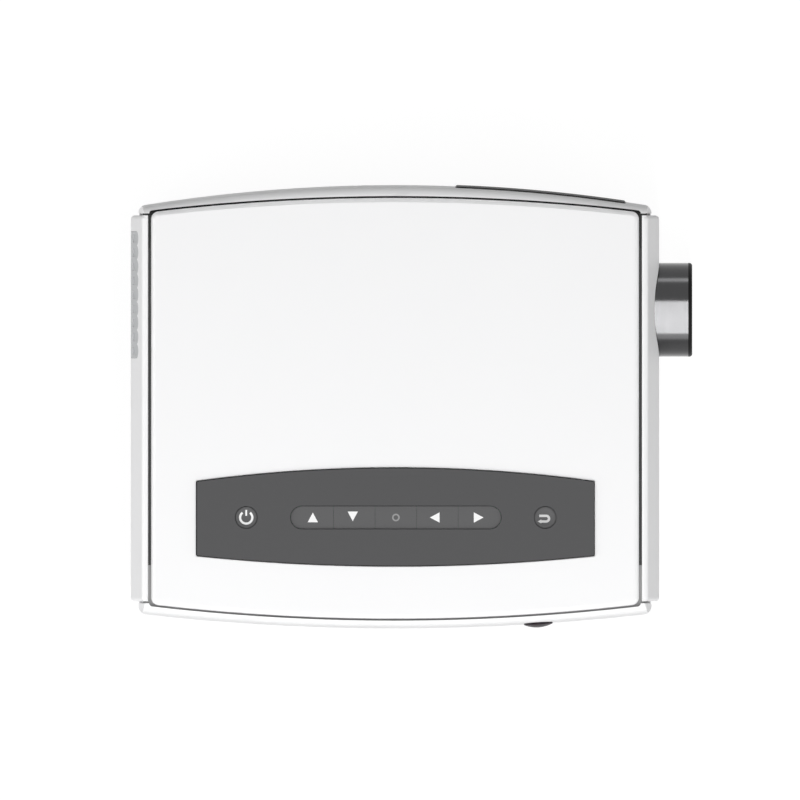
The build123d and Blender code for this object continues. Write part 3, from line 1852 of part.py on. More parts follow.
# The origin is the middle of the whole part's box, on the surface that it stands on
boxes = [piece.bounding_box() for piece in pieces.values()]
low_corner = [min(getattr(box.min, axis) for box in boxes) for axis in ("X", "Y", "Z")]
high_corner = [max(getattr(box.max, axis) for box in boxes) for axis in ("X", "Y", "Z")]
shift_x = -(low_corner[0] + high_corner[0]) / 2
shift_y = -(low_corner[1] + high_corner[1]) / 2
shift_z = -low_corner[2]

os.makedirs("parts", exist_ok=True)
for name, piece in pieces.items():
    export_step(Pos(shift_x, shift_y, shift_z) * piece, f"parts/{name}.step")
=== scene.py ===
import json
import math

import bmesh
import bpy
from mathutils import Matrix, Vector


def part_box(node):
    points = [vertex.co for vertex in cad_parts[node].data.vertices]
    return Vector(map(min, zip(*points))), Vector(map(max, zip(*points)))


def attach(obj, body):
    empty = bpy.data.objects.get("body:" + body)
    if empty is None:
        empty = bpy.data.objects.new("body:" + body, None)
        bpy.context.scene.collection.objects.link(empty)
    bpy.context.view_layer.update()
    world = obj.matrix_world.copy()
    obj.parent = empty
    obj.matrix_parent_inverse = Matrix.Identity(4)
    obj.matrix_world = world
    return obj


bl_info = {
    "name": "Home projector with a disc drive",
    "version": (1, 0, 0),
    "blender": (4, 5, 0),
    "location": "View3D > Sidebar > Projector",
    "description": "Gives the projector its finishes, key signs, contacts and studio",
    "category": "Object",
}

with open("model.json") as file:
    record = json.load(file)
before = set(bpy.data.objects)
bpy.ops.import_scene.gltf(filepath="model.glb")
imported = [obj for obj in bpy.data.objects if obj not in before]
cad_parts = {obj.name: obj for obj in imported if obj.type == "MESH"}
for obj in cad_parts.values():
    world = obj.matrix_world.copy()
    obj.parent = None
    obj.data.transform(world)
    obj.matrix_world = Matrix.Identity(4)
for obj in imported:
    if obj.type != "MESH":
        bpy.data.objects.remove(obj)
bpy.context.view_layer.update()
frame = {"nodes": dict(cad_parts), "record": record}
NODES = frame["nodes"]
MOUNTS = {mount["name"]: mount for mount in frame["record"]["mounts"]}
MM = 0.001

# The photograph looks straight down; this is the point under its middle and its width
VIEW_MIDDLE = (-0.00656, 0.003785)
VIEW_WIDTH = 0.4544
CAMERA_HEIGHT = 1.5


def level(value):
    """The linear brightness of a display level between 0 and 255."""
    share = value / 255
    if share <= 0.04045:
        return share / 12.92
    return ((share + 0.055) / 1.055) ** 2.4


def grey(value):
    """A neutral colour of one display level."""
    return (level(value),) * 3


# ------------------------------------------------------------------ shader maths


class Signal:
    """A node's output socket that can stand in a Python expression."""

    def __init__(self, finish, socket):
        self.finish = finish
        self.socket = socket

    def maths(self, operation, *values):
        inputs = dict(enumerate(values))
        return self.finish.node("Math", {"operation": operation}, inputs)

    def __add__(self, other):
        return self.maths("ADD", self, other)

    __radd__ = __add__

    def __sub__(self, other):
        return self.maths("SUBTRACT", self, other)

    def __rsub__(self, other):
        return self.maths("SUBTRACT", other, self)

    def __mul__(self, other):
        return self.maths("MULTIPLY", self, other)

    __rmul__ = __mul__

    def __gt__(self, other):
        return self.maths("GREATER_THAN", self, other)

    def __lt__(self, other):
        return self.maths("LESS_THAN", self, other)

    def __abs__(self):
        return self.maths("ABSOLUTE", self)


class Finish:
    """A material, or the studio's world, while its nodes are being put together."""

    def __init__(self, owner):
        self.owner = owner
        owner.use_nodes = True
        self.tree = owner.node_tree
        self.tree.nodes.clear()

    def node(self, kind, settings=None, inputs=None, output=0):
        """Makes a node, sets it, feeds its inputs and returns one of its outputs."""
        made = self.tree.nodes.new("ShaderNode" + kind)
        for key, value in (settings or {}).items():
            if key == "stops":
                fill_ramp(made.color_ramp, value)
            else:
                setattr(made, key, value)
        for key, value in (inputs or {}).items():
            if isinstance(value, Signal):
                self.tree.links.new(value.socket, made.inputs[key])
            else:
                made.inputs[key].default_value = value
        return Signal(self, made.outputs[output])

    def place(self):
        """The point on the piece, in metres, in the frame that the whole part shares."""
        return self.node("TexCoord", output="Object")

    def along(self, axis):
        """How far the point lies along a direction."""
        product = {0: self.place(), 1: axis}
        return self.node("VectorMath", {"operation": "DOT_PRODUCT"}, product, "Value")

    def scaled(self, factors):
        product = {0: self.place(), 1: factors}
        return self.node("VectorMath", {"operation": "MULTIPLY"}, product)

    def noise(self, scale, detail=2.0, place=None):
        inputs = {"Vector": place or self.place(), "Scale": scale, "Detail": detail}
        return self.node("TexNoise", None, inputs, "Fac")

    def blend(self, share, low, high):
        """A colour between two others."""
        colours = {0: share, 6: solid(low), 7: solid(high)}
        return self.node("Mix", {"data_type": "RGBA"}, colours, 2)

    def bump(self, height, distance, strength):
        inputs = {"Height": height, "Distance": distance, "Strength": strength}
        return self.node("Bump", None, inputs, "Normal")

    def from_axis(self, middle, flatten):
        """How far the point lies from the line through a middle that the factors flatten."""
        offset = self.node("VectorMath", {"operation": "SUBTRACT"}, {0: self.place(), 1: middle})
        flat = self.node("VectorMath", {"operation": "MULTIPLY"}, {0: offset, 1: flatten})
        return self.node("VectorMath", {"operation": "LENGTH"}, {0: flat}, "Value")

    def wave(self, operation, reach, pitch):
        """A sine or cosine along a reach, with a pitch in mm."""
        turns = reach * (2 * math.pi / (pitch * MM))
        return self.node("Math", {"operation": operation}, {0: turns})

    def shader(self, inputs):
        return self.node("BsdfPrincipled", None, inputs, "BSDF")

    def done(self, shader, kind="OutputMaterial"):
        end = self.tree.nodes.new("ShaderNode" + kind)
        self.tree.links.new(shader.socket, end.inputs["Surface"])
        return self.owner


def solid(colour):
    """A colour with its fourth number, or a signal as it is."""
    if isinstance(colour, Signal):
        return colour
    return (*colour[:3], 1.0)


def fill_ramp(ramp, stops):
    while len(ramp.elements) < len(stops):
        ramp.elements.new(0.5)
    for element, (position, colour) in zip(ramp.elements, stops):
        element.position = position
        element.color = solid(colour)


def material(name):
    return Finish(bpy.data.materials.new(name))


# --------------------------------------------------------------------- finishes


def moulded(name, colour, gloss, grain=0.45, depth=0.006, drift=0.03, shine=0.3):
    """Moulded plastic: a fine spark-eroded grain in mm, and a slow drift of tone and gloss."""
    mix = material(name)
    slow = mix.noise(14.0, 3.0)
    patch = mix.noise(120.0, 4.0)
    fine = mix.noise(1 / (grain * MM), 2.0)
    darker = tuple(channel * (1 - drift) for channel in colour)
    lighter = tuple(min(1.0, channel * (1 + drift)) for channel in colour)
    speckle = mix.blend(fine, darker, lighter)
    tone = mix.blend(slow, speckle, lighter)
    return mix.done(
        mix.shader(
            {
                "Base Color": tone,
                "Roughness": gloss + (patch - 0.5) * 0.12 + (fine - 0.5) * 0.08,
                "Specular IOR Level": shine,
                "Normal": mix.bump(fine, depth * MM, 0.35),
            }
        )
    )


def two_part(name, axis, limit, low_finish, high_finish, low_metal=0.0):
    """One finish below a limit along a direction, and one that isn't metal above it."""
    mix = material(name)
    above = mix.along(axis) > limit
    fine = mix.noise(1800.0, 2.0)
    slow = mix.noise(60.0, 3.0)
    low = mix.blend(slow, low_finish[0], low_finish[1])
    high = mix.blend(slow, high_finish[0], high_finish[1])
    roughness = low_finish[2] + above * (high_finish[2] - low_finish[2])
    return mix.done(
        mix.shader(
            {
                "Base Color": mix.blend(above, low, high),
                "Metallic": (1.0 - above) * low_metal,
                "Roughness": roughness + (slow - 0.5) * 0.1,
                "Normal": mix.bump(fine, 0.008 * MM, 0.4),
            }
        )
    )


def sheet_metal(name, colour, gloss, direction, streak=0.12):
    """Rolled or drawn metal, with streaks along one axis and a cloudy bloom."""
    mix = material(name)
    squeeze = tuple(60.0 if axis else 2600.0 for axis in direction)
    streaks = mix.noise(1.0, 3.0, mix.scaled(squeeze))
    cloud = mix.noise(90.0, 4.0)
    dull = tuple(channel * (1 - streak) for channel in colour)
    tone = mix.blend(streaks, dull, colour)
    return mix.done(
        mix.shader(
            {
                "Base Color": mix.blend(cloud * 0.5, tone, colour),
                "Metallic": 1.0,
                "Roughness": gloss + (streaks - 0.5) * 0.14 + (cloud - 0.5) * 0.1,
                "Normal": mix.bump(streaks, 0.004 * MM, 0.5),
            }
        )
    )


def turned_ring(name, colour, gloss):
    """Metal turned on a lathe: fine rings round the lens's axis, which runs along X."""
    mix = material(name)
    rings = mix.noise(1.0, 2.0, mix.scaled((5200.0, 4.0, 4.0)))
    smear = mix.noise(70.0, 3.0)
    tone = mix.blend(rings, tuple(channel * 0.9 for channel in colour), colour)
    return mix.done(
        mix.shader(
            {
                "Base Color": tone,
                "Metallic": 1.0,
                "Roughness": gloss + (rings - 0.5) * 0.08 + (smear - 0.5) * 0.05,
                "Normal": mix.bump(rings, 0.0012 * MM, 0.5),
            }
        )
    )


# The lens coating's tint, from face on to a slant: violet, green, rose
COATING = (
    (0.0, (0.62, 0.55, 0.95)),
    (0.45, (0.5, 0.85, 0.72)),
    (1.0, (0.95, 0.85, 0.9)),
)


def coated_lens(name):
    """Lens glass with a thin violet and green coating that shows most at a slant."""
    mix = material(name)
    slant = mix.node("LayerWeight", None, {"Blend": 0.35}, "Facing")
    cloud = mix.noise(30.0, 2.0)
    tint = mix.node(
        "ValToRGB",
        {"stops": COATING},
        {"Fac": slant},
        "Color",
    )
    glass = mix.shader(
        {
            "Base Color": (0.93, 0.94, 0.98, 1.0),
            "Roughness": 0.015 + cloud * 0.01,
            "IOR": 1.52,
            "Transmission Weight": 1.0,
        }
    )
    mirror = mix.node("BsdfGlossy", None, {"Color": tint, "Roughness": 0.03}, "BSDF")
    share = 0.06 + slant * 0.2
    return mix.done(mix.node("MixShader", None, {0: share, 1: glass, 2: mirror}))


def clear_sheet(name, colour, grooves, haze):
    """Optical sheet with grooves in rings round the light's axis, with a pitch in mm."""
    mix = material(name)
    low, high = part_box("lens_rim")
    middle = (low + high) / 2
    radius = mix.from_axis((0, middle.y, middle.z), (0.0, 1.0, 1.0))
    teeth = mix.wave("SINE", radius, grooves)
    cloud = mix.noise(40.0, 2.0)
    return mix.done(
        mix.shader(
            {
                "Base Color": mix.blend(cloud, colour, tuple(min(1, c * 1.06) for c in colour)),
                "Roughness": haze + teeth * haze * 0.4,
                "Transmission Weight": 0.8,
                "IOR": 1.49,
                "Normal": mix.bump(teeth, 0.05 * MM, 0.3),
            }
        )
    )


def rubber(name, shade):
    """Matt rubber with a pebbled skin and a trace of bloom."""
    mix = material(name)
    pebble = mix.node("TexVoronoi", None, {"Vector": mix.place(), "Scale": 900.0}, "Distance")
    bloom = mix.noise(55.0, 4.0)
    return mix.done(
        mix.shader(
            {
                "Base Color": mix.blend(bloom, (shade,) * 3, (shade * 1.7,) * 3),
                "Roughness": 0.72 + (bloom - 0.5) * 0.2,
                "Normal": mix.bump(pebble, 0.03 * MM, 0.5),
            }
        )
    )


def circuit_green(name, axis, low, high):
    """A solder-masked board between two limits along an axis, and black parts outside them."""
    mix = material(name)
    reach = mix.along(axis)
    on_board = (reach > low) * (reach < high)
    cells = mix.node(
        "TexVoronoi",
        {"feature": "DISTANCE_TO_EDGE"},
        {"Vector": mix.place(), "Scale": 420.0, "Randomness": 0.75},
        "Distance",
    )
    track = cells < 0.09
    mask = mix.blend(track, (0.012, 0.085, 0.035), (0.03, 0.16, 0.07))
    slow = mix.noise(80.0, 2.0)
    part = mix.blend(slow, (0.012, 0.012, 0.013), (0.035, 0.035, 0.036))
    return mix.done(
        mix.shader(
            {
                "Base Color": mix.blend(on_board, part, mask),
                "Roughness": 0.42 - on_board * 0.1 + (slow - 0.5) * 0.1,
                "Normal": mix.bump(track * on_board, 0.03 * MM, 0.6),
            }
        )
    )


def plugged(name, mount, reach, tall, depth, insert, pitch, contact=0.4):
    """A steel socket with a plastic insert behind its mouth, and gold contacts across it.

    Reach and tall are half the insert's width and height in mm, and depth is how far it lies
    behind the mouth. A reach of None lets the insert run on to the next socket.
    """
    mix = material(name)
    middle = Vector(MOUNTS[mount]["pos_m"])
    outward = Vector(MOUNTS[mount]["axis"])
    across = Vector((outward.y, -outward.x, 0.0))
    inside = (mix.along(outward) < middle.dot(outward) - depth * MM) * (
        abs(mix.along((0, 0, 1)) - middle.z) < tall * MM
    )
    sideways = mix.along(across) - middle.dot(across)
    if reach is not None:
        inside = inside * (abs(sideways) < reach * MM)
    gold = (mix.wave("COSINE", sideways, pitch) > contact) * inside
    gilt = (0.83, 0.62, 0.26)
    cloud = mix.noise(400.0, 3.0)
    steel = mix.blend(cloud, (0.5, 0.5, 0.52), (0.66, 0.66, 0.68))
    return mix.done(
        mix.shader(
            {
                "Base Color": mix.blend(gold, mix.blend(inside, steel, insert), gilt),
                "Metallic": 1.0 - inside + gold,
                "Roughness": 0.28 + (inside - gold) * 0.2 + (cloud - 0.5) * 0.1,
                "Normal": mix.bump(cloud, 0.004 * MM, 0.4),
            }
        )
    )


def pinned(name, mount, spacing, radius):
    """Black plastic with two round steel pins, either side of a mount that faces along X."""
    mix = material(name)
    middle = Vector(MOUNTS[mount]["pos_m"])
    aside = abs(mix.along((0, 1, 0)) - middle.y) - spacing / 2 * MM
    upwards = mix.along((0, 0, 1)) - middle.z
    pin = (aside * aside + upwards * upwards) < (radius * MM) ** 2
    grain = mix.noise(1800.0, 2.0)
    black = mix.blend(grain, grey(30), grey(38))
    return mix.done(
        mix.shader(
            {
                "Base Color": mix.blend(pin, black, (0.62, 0.62, 0.64)),
                "Metallic": pin,
                "Roughness": 0.48 - pin * 0.2 + (grain - 0.5) * 0.1,
                "Specular IOR Level": 0.3,
                "Normal": mix.bump(grain, 0.006 * MM, 0.35),
            }
        )
    )


def platter(name, node, inner, outer):
    """A turned plastic hub with a rubber ring round it, between two radii in mm."""
    mix = material(name)
    low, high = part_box(node)
    middle = (low + high) / 2
    radius = mix.from_axis((middle.x, middle.y, 0), (1.0, 1.0, 0.0))
    ring = (radius > inner * MM) * (radius < outer * MM)
    grain = mix.noise(1500.0, 2.0)
    hub = mix.blend(grain, grey(58), grey(70))
    return mix.done(
        mix.shader(
            {
                "Base Color": mix.blend(ring, hub, grey(30)),
                "Roughness": 0.32 + ring * 0.5 + (grain - 0.5) * 0.1,
                "Normal": mix.bump(grain * ring, 0.02 * MM, 0.5),
            }
        )
    )


def edge_shaded_plastic(name, colour, painted_edge_shade, gloss):
    """Moulded plastic with painted shade: its steep faces get a darker colour than its level ones,
    standing in for the shade along its edges.
    """
    # A face counts as steep where its normal points upwards by less than this share, and a steep
    # face gets the painted edge shade
    steep = 0.9
    mix = material(name)
    product = {0: mix.node("TexCoord", output="Normal"), 1: (0, 0, 1)}
    upright = mix.node("VectorMath", {"operation": "DOT_PRODUCT"}, product, "Value")
    fine = mix.noise(2500.0, 2.0)
    darker = tuple(channel * 0.95 for channel in colour)
    lighter = tuple(channel * 1.05 for channel in colour)
    level_tone = mix.blend(fine, darker, lighter)
    return mix.done(
        mix.shader(
            {
                # Painted shade: steep faces take the darker edge colour in place of the plastic's
                # own tone
                "Base Color": mix.blend(upright < steep, level_tone, painted_edge_shade),
                "Roughness": gloss + (fine - 0.5) * 0.1,
                "Specular IOR Level": 0.1,
                "Normal": mix.bump(fine, 0.008 * MM, 0.35),
            }
        )
    )


def seam_frame_with_painted_shade(name):
    """The frame under the seams: its middle grey is the dark of the joints, and it carries painted
    light along the tray side and painted shade, darkest, along the back.
    """
    # Beyond this distance from the middle, in metres, the seams run along the long sides
    side_seam = 0.09
    mix = material(name)
    reach = mix.along((0, 1, 0))
    fine = mix.noise(2500.0, 2.0)
    # Painted shade along the back seam, grey(44), and painted light along the tray-side seam,
    # grey(150)
    dark = mix.blend(reach > side_seam, grey(62), grey(44))
    tone = mix.blend(reach < -side_seam, dark, grey(150))
    return mix.done(
        mix.shader(
            {
                "Base Color": tone,
                "Roughness": 0.6 + (fine - 0.5) * 0.1,
                "Specular IOR Level": 0.2,
                "Normal": mix.bump(fine, 0.006 * MM, 0.35),
            }
        )
    )


def dress(finish, *nodes):
    """Puts one finish on CAD nodes."""
    for node in nodes:
        slots = NODES[node].data.materials
        slots.clear()
        slots.append(finish)


# ------------------------------------------------------------------ piece making


def new_piece(name, mesh_maker, finish, body):
    """A piece from a bmesh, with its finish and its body."""
    mesh = bpy.data.meshes.new(name)
    work = bmesh.new()
    mesh_maker(work)
    bmesh.ops.recalc_face_normals(work, faces=work.faces)
    work.to_mesh(mesh)
    work.free()
    piece = bpy.data.objects.new(name, mesh)
    bpy.context.scene.collection.objects.link(piece)
    mesh.materials.append(finish)
    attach(piece, body)
    return piece


def surface_height(node, x, y):
    """The height of a CAD node's upper surface under a point."""
    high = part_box(node)[1]
    hit, place, _, _ = NODES[node].ray_cast(Vector((x, y, high.z + MM)), Vector((0, 0, -1)))
    return place.z if hit else high.z


def inked(work, node, rings):
    """A thin skin of print on a node, along a strip of left and right points in metres."""
    proud = 0.03 * MM
    sunk = 0.05 * MM
    rows = []
    for left, right in rings:
        row = []
        for x, y in (left, right):
            z = surface_height(node, x, y)
            row.append(work.verts.new((x, y, z + proud)))
            row.append(work.verts.new((x, y, z - sunk)))
        rows.append(row)
    closed = rings[0] == rings[-1]
    if closed:
        for vertex in rows.pop():
            work.verts.remove(vertex)
    count = len(rows)
    for index in range(count if closed else count - 1):
        a = rows[index]
        b = rows[(index + 1) % count]
        work.faces.new((a[0], a[2], b[2], b[0]))
        work.faces.new((a[1], b[1], b[3], a[3]))
        work.faces.new((a[0], b[0], b[1], a[1]))
        work.faces.new((a[2], a[3], b[3], b[2]))
    if not closed:
        first, last = rows[0], rows[-1]
        work.faces.new((first[0], first[1], first[3], first[2]))
        work.faces.new((last[0], last[2], last[3], last[1]))


def stroke(path, width):
    """The left and right points of a line of even width along a path."""
    sides = []
    for index, point in enumerate(path):
        before = path[max(index - 1, 0)]
        after = path[min(index + 1, len(path) - 1)]
        along = Vector((after[0] - before[0], after[1] - before[1])).normalized()
        across = Vector((-along.y, along.x)) * (width / 2)
        sides.append(
            (
                (point[0] + across.x, point[1] + across.y),
                (point[0] - across.x, point[1] - across.y),
            )
        )
    return sides


def arc(centre, radius, start, end, steps):
    points = []
    for step in range(steps + 1):
        angle = math.radians(start + (end - start) * step / steps)
        points.append((centre[0] + radius * math.cos(angle), centre[1] + radius * math.sin(angle)))
    return points


def wedge(centre, width, length, turn, steps=10):
    """A filled triangle as a strip from its base to its tip, turned about its centre."""
    strip = []
    for step in range(steps + 1):
        share = step / steps
        half = width / 2 * (1 - share) + 0.05 * MM * share
        ahead = length * (share - 0.5)
        strip.append(((ahead, half), (ahead, -half)))
    cos, sin = math.cos(math.radians(turn)), math.sin(math.radians(turn))
    turned = []
    for pair in strip:
        turned.append(
            tuple((centre[0] + a * cos - b * sin, centre[1] + a * sin + b * cos) for a, b in pair)
        )
    return turned


# ----------------------------------------------------------------- sizes and colours


def colour_setting(name, description, default):
    return bpy.props.FloatVectorProperty(
        name=name,
        description=description,
        subtype="COLOR",
        size=3,
        min=0.0,
        max=1.0,
        default=default,
    )


def gloss_setting(name, description, lowest, default):
    return bpy.props.FloatProperty(
        name=name,
        description=description,
        subtype="FACTOR",
        min=lowest,
        max=1.0,
        default=default,
    )


def width_setting(name, description, lowest, highest, default):
    return bpy.props.FloatProperty(
        name=name,
        description=description,
        subtype="DISTANCE",
        min=lowest,
        max=highest,
        default=default,
    )


def light_setting(name, description, highest, default):
    return bpy.props.FloatProperty(
        name=name,
        description=description,
        min=0.0,
        max=highest,
        default=default,
    )


class ShellSettings(bpy.types.PropertyGroup):
    white: colour_setting("White", "Colour of the white shells", (0.88, 0.88, 0.885))
    gloss: gloss_setting("Roughness", "Roughness of the white shells", 0.05, 0.5)
    vent_grey: colour_setting("Grille grey", "Colour of the exhaust grille", (0.5, 0.51, 0.52))


class KeySettings(bpy.types.PropertyGroup):
    panel: colour_setting("Panel", "Colour of the control panel", (0.088, 0.088, 0.09))
    caps: colour_setting("Caps", "Colour of the key caps", (0.112, 0.112, 0.114))
    sign: width_setting("Sign size", "Width of an arrow sign", 0.002, 0.01, 0.0058)
    line: width_setting("Line width", "Width of the drawn lines", 0.0004, 0.002, 0.00125)


class LensSettings(bpy.types.PropertyGroup):
    metal: colour_setting("Ring metal", "Colour of the focus ring", (0.066, 0.066, 0.0675))
    gloss: gloss_setting("Ring roughness", "Roughness of the focus ring", 0.02, 0.17)


class StudioSettings(bpy.types.PropertyGroup):
    ambient: light_setting("Ambient", "Strength of the even light from all round", 2.0, 0.16)
    above: light_setting("Overhead strip", "Brightness of the long lamp above", 30.0, 16.5)
    back: light_setting("Back lamp", "Brightness of the lamp above the back left", 20.0, 1.8)
    low: light_setting("Low strip", "Brightness of the strip that the ring mirrors", 20.0, 3.2)
    left: light_setting("Left lamp", "Brightness of the lamp at the grille end", 20.0, 3.4)
    right: light_setting("Right lamp", "Brightness of the lamp at the lens end", 20.0, 2.2)
    front: light_setting("Front lamp", "Brightness of the lamp before the tray", 20.0, 2.1)


# -------------------------------------------------------------------------- pieces


class PROJECTOR_OT_shells(bpy.types.Operator):
    """Finishes the white shells, the tray's door and its button, and the frame in their seams"""

    bl_idname = "projector.shells"
    bl_label = "Shells"

    def execute(self, context):
        settings = context.scene.projector_shell
        white = moulded(
            "shell_white",
            tuple(settings.white),
            settings.gloss,
            grain=0.5,
            depth=0.004,
            drift=0.012,
        )
        dress(white, "top_cover", "lens_end_panel", "grille_end_panel", "port_side_panel")
        dress(white, "tray_side_panel", "base_pan", "tray_bezel", "eject_button")
        # The seam frame carries painted light along the tray side and painted shade along the back
        dress(seam_frame_with_painted_shade("frame_dark"), "mid_frame")
        return {"FINISHED"}


class PROJECTOR_OT_grille(bpy.types.Operator):
    """Finishes the exhaust grille and what shows through it"""

    bl_idname = "projector.grille"
    bl_label = "Grille and fan"

    def execute(self, context):
        settings = context.scene.projector_shell
        vent = moulded("grille_grey", tuple(settings.vent_grey), 0.45, grain=0.5, depth=0.008)
        dress(vent, "exhaust_grille")
        dress(moulded("fan_frame_black", grey(38), 0.5), "fan_frame")
        dress(moulded("fan_rotor_black", grey(44), 0.42), "fan_rotor")
        dress(sheet_metal("fin_metal", (0.7, 0.71, 0.72), 0.34, (0, 0, 1)), "heat_sink")
        return {"FINISHED"}


class PROJECTOR_OT_control_panel(bpy.types.Operator):
    """Finishes the control panel and its keys"""

    bl_idname = "projector.control_panel"
    bl_label = "Control panel and keys"

    def execute(self, context):
        settings = context.scene.projector_keys
        # The control panel's steep edge faces get painted shade, grey(40), in place of the panel
        # colour
        dress(edge_shaded_plastic("panel_charcoal", tuple(settings.panel), grey(40), 0.6), "control_panel")
        colour = tuple(settings.caps)
        caps = moulded("key_charcoal", colour, 0.6, grain=0.4, depth=0.006, drift=0.05, shine=0.1)
        dress(caps, "up_key", "down_key", "ok_key", "left_key", "right_key")
        dress(caps, "power_key", "return_key")
        return {"FINISHED"}


class PROJECTOR_OT_signs(bpy.types.Operator):
    """Prints the arrows, the middle ring, and the power and return signs on the keys"""

    bl_idname = "projector.signs"
    bl_label = "Key signs"

    # Each arrow with its turn, and how far it sits from its key's middle, in mm
    ARROWS = (
        ("up_key", 90, 0.4, 0.0),
        ("down_key", 270, -0.9, 0.7),
        ("left_key", 180, -1.5, 0.0),
        ("right_key", 0, -0.6, 0.0),
    )

    def execute(self, context):
        settings = context.scene.projector_keys
        print_grain = {"grain": 0.3, "depth": 0.003, "drift": 0.02}
        ink = moulded("sign_white", (0.86, 0.86, 0.86), 0.45, **print_grain)
        dim = moulded("sign_grey", (0.26, 0.26, 0.262), 0.45, **print_grain)
        size = settings.sign
        for key, turn, shift_x, shift_y in self.ARROWS:
            x, y = self.middle_of(key)
            place = (x + shift_x * MM, y + shift_y * MM)
            self.add(key, [wedge(place, size, size * 0.93, turn)], ink, key + "_arrow")
        middle = self.middle_of("ok_key")
        ring = stroke(arc(middle, size * 0.3, 0, 360, 40), settings.line * 0.7)
        ring[-1] = ring[0]
        self.add("ok_key", [ring], dim, "ok_key_dot")
        self.power(settings.line, ink)
        pale = moulded("sign_pale", (0.6, 0.6, 0.6), 0.45, **print_grain)
        self.back(settings.line, pale)
        return {"FINISHED"}

    def middle_of(self, key):
        low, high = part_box(key)
        return ((low.x + high.x) / 2, (low.y + high.y) / 2)

    def add(self, key, strips, ink, name):
        def make(work):
            for strip in strips:
                inked(work, key, strip)

        new_piece(name, make, ink, key)

    def power(self, line, ink):
        """An open ring with a bar that stands in its gap."""
        middle = self.middle_of("power_key")
        radius = 3.45 * MM
        ring = stroke(arc(middle, radius, 128, 412, 44), line)
        path = [(middle[0], middle[1] + y * MM) for y in (4.3, 3.2, 2.1, 1.0)]
        bar = stroke(path, line * 0.8)
        self.add("power_key", [ring, bar], ink, "power_key_sign")

    def back(self, line, ink):
        """A hook whose lower line ends in a small arrowhead."""
        x, y = self.middle_of("return_key")
        y -= 0.65 * MM
        half = 1.6 * MM
        bend_x = x + 0.6 * MM
        path = [(x + (step - 3.4) * MM, y + half) for step in (0, 1, 2, 3)]
        path += arc((bend_x, y), half, 90, -90, 14)
        path += [(x - step * MM, y - half) for step in (0.4, 1.4, 2.4)]
        hook = stroke(path, line * 1.1)
        head = wedge((x - 3.2 * MM, y - half), 2.3 * MM, 2.0 * MM, 180)
        self.add("return_key", [hook, head], ink, "return_key_sign")


class PROJECTOR_OT_lens(bpy.types.Operator):
    """Finishes the focus ring, its rim, the barrel and the glass"""

    bl_idname = "projector.lens"
    bl_label = "Lens"

    def execute(self, context):
        settings = context.scene.projector_lens
        dress(turned_ring("ring_metal", tuple(settings.metal), settings.gloss), "focus_ring")
        rim = moulded("rim_black", grey(14), 0.5, grain=0.3, depth=0.002, drift=0.05, shine=0.1)
        dress(rim, "lens_rim")
        dress(moulded("barrel_black", grey(30), 0.5, 0.3), "lens_barrel")
        dress(moulded("mount_black", grey(40), 0.5), "lens_mount")
        dress(coated_lens("lens_glass"), "lens_elements")
        return {"FINISHED"}


class PROJECTOR_OT_light_path(bpy.types.Operator):
    """Finishes the lamp, its funnel, the optical sheets and their housing"""

    bl_idname = "projector.light_path"
    bl_label = "Light path"

    def execute(self, context):
        dress(moulded("housing_black", grey(42), 0.55), "optics_housing")
        dress(clear_sheet("front_sheet", (0.85, 0.88, 0.9), 0.5, 0.06), "front_fresnel")
        dress(clear_sheet("rear_sheet", (0.85, 0.87, 0.86), 0.5, 0.08), "rear_fresnel")
        dress(clear_sheet("heat_sheet", (0.82, 0.9, 0.88), 4.0, 0.02), "heat_glass")
        dress(clear_sheet("picture_sheet", (0.16, 0.18, 0.22), 0.2, 0.1), "lcd_panel")
        dress(sheet_metal("funnel_metal", (0.86, 0.87, 0.88), 0.08, (1, 0, 0), 0.05), "reflector")
        emitter_height = 1.3 * MM
        emitter_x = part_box("led_module")[1].x - emitter_height
        plate = ((0.42, 0.43, 0.44), (0.6, 0.61, 0.62), 0.4)
        emitter = ((0.75, 0.56, 0.06), (0.85, 0.68, 0.12), 0.5)
        lamp = two_part("lamp_plate", (1, 0, 0), emitter_x, plate, emitter, low_metal=1.0)
        dress(lamp, "led_module")
        return {"FINISHED"}


class PROJECTOR_OT_sockets(bpy.types.Operator):
    """Finishes the dark plate on the port side, and its sockets"""

    bl_idname = "projector.sockets"
    bl_label = "Sockets"

    # Half widths and heights, depths and pitches of the inserts are in mm
    INSERTS = (
        (
            "hdmi_steel",
            "hdmi_sockets",
            {
                "mount": "hdmi_1",
                "reach": None,
                "tall": 0.56,
                "depth": 0.9,
                "insert": grey(32),
                "pitch": 1.0,
            },
        ),
        (
            "usb_steel",
            "usb_sockets",
            {
                "mount": "usb_1",
                "reach": None,
                "tall": 0.96,
                "depth": 0.9,
                "insert": (0.02, 0.1, 0.42),
                "pitch": 2.3,
            },
        ),
        (
            "vga_steel",
            "vga_socket",
            {
                "mount": "vga",
                "reach": 8.05,
                "tall": 3.75,
                "depth": 2.3,
                "insert": (0.02, 0.07, 0.32),
                "pitch": 2.3,
                "contact": 1.1,
            },
        ),
    )

    def execute(self, context):
        plate = moulded("plate_dark", grey(44), 0.55, depth=0.008, drift=0.05, shine=0.15)
        dress(plate, "port_plate")
        for name, node, values in self.INSERTS:
            dress(plugged(name, **values), node)
        dress(moulded("jack_black", grey(36), 0.5), "audio_jacks")
        dress(pinned("inlet_black", "mains_inlet", spacing=8.6, radius=1.3), "ac_inlet")
        return {"FINISHED"}


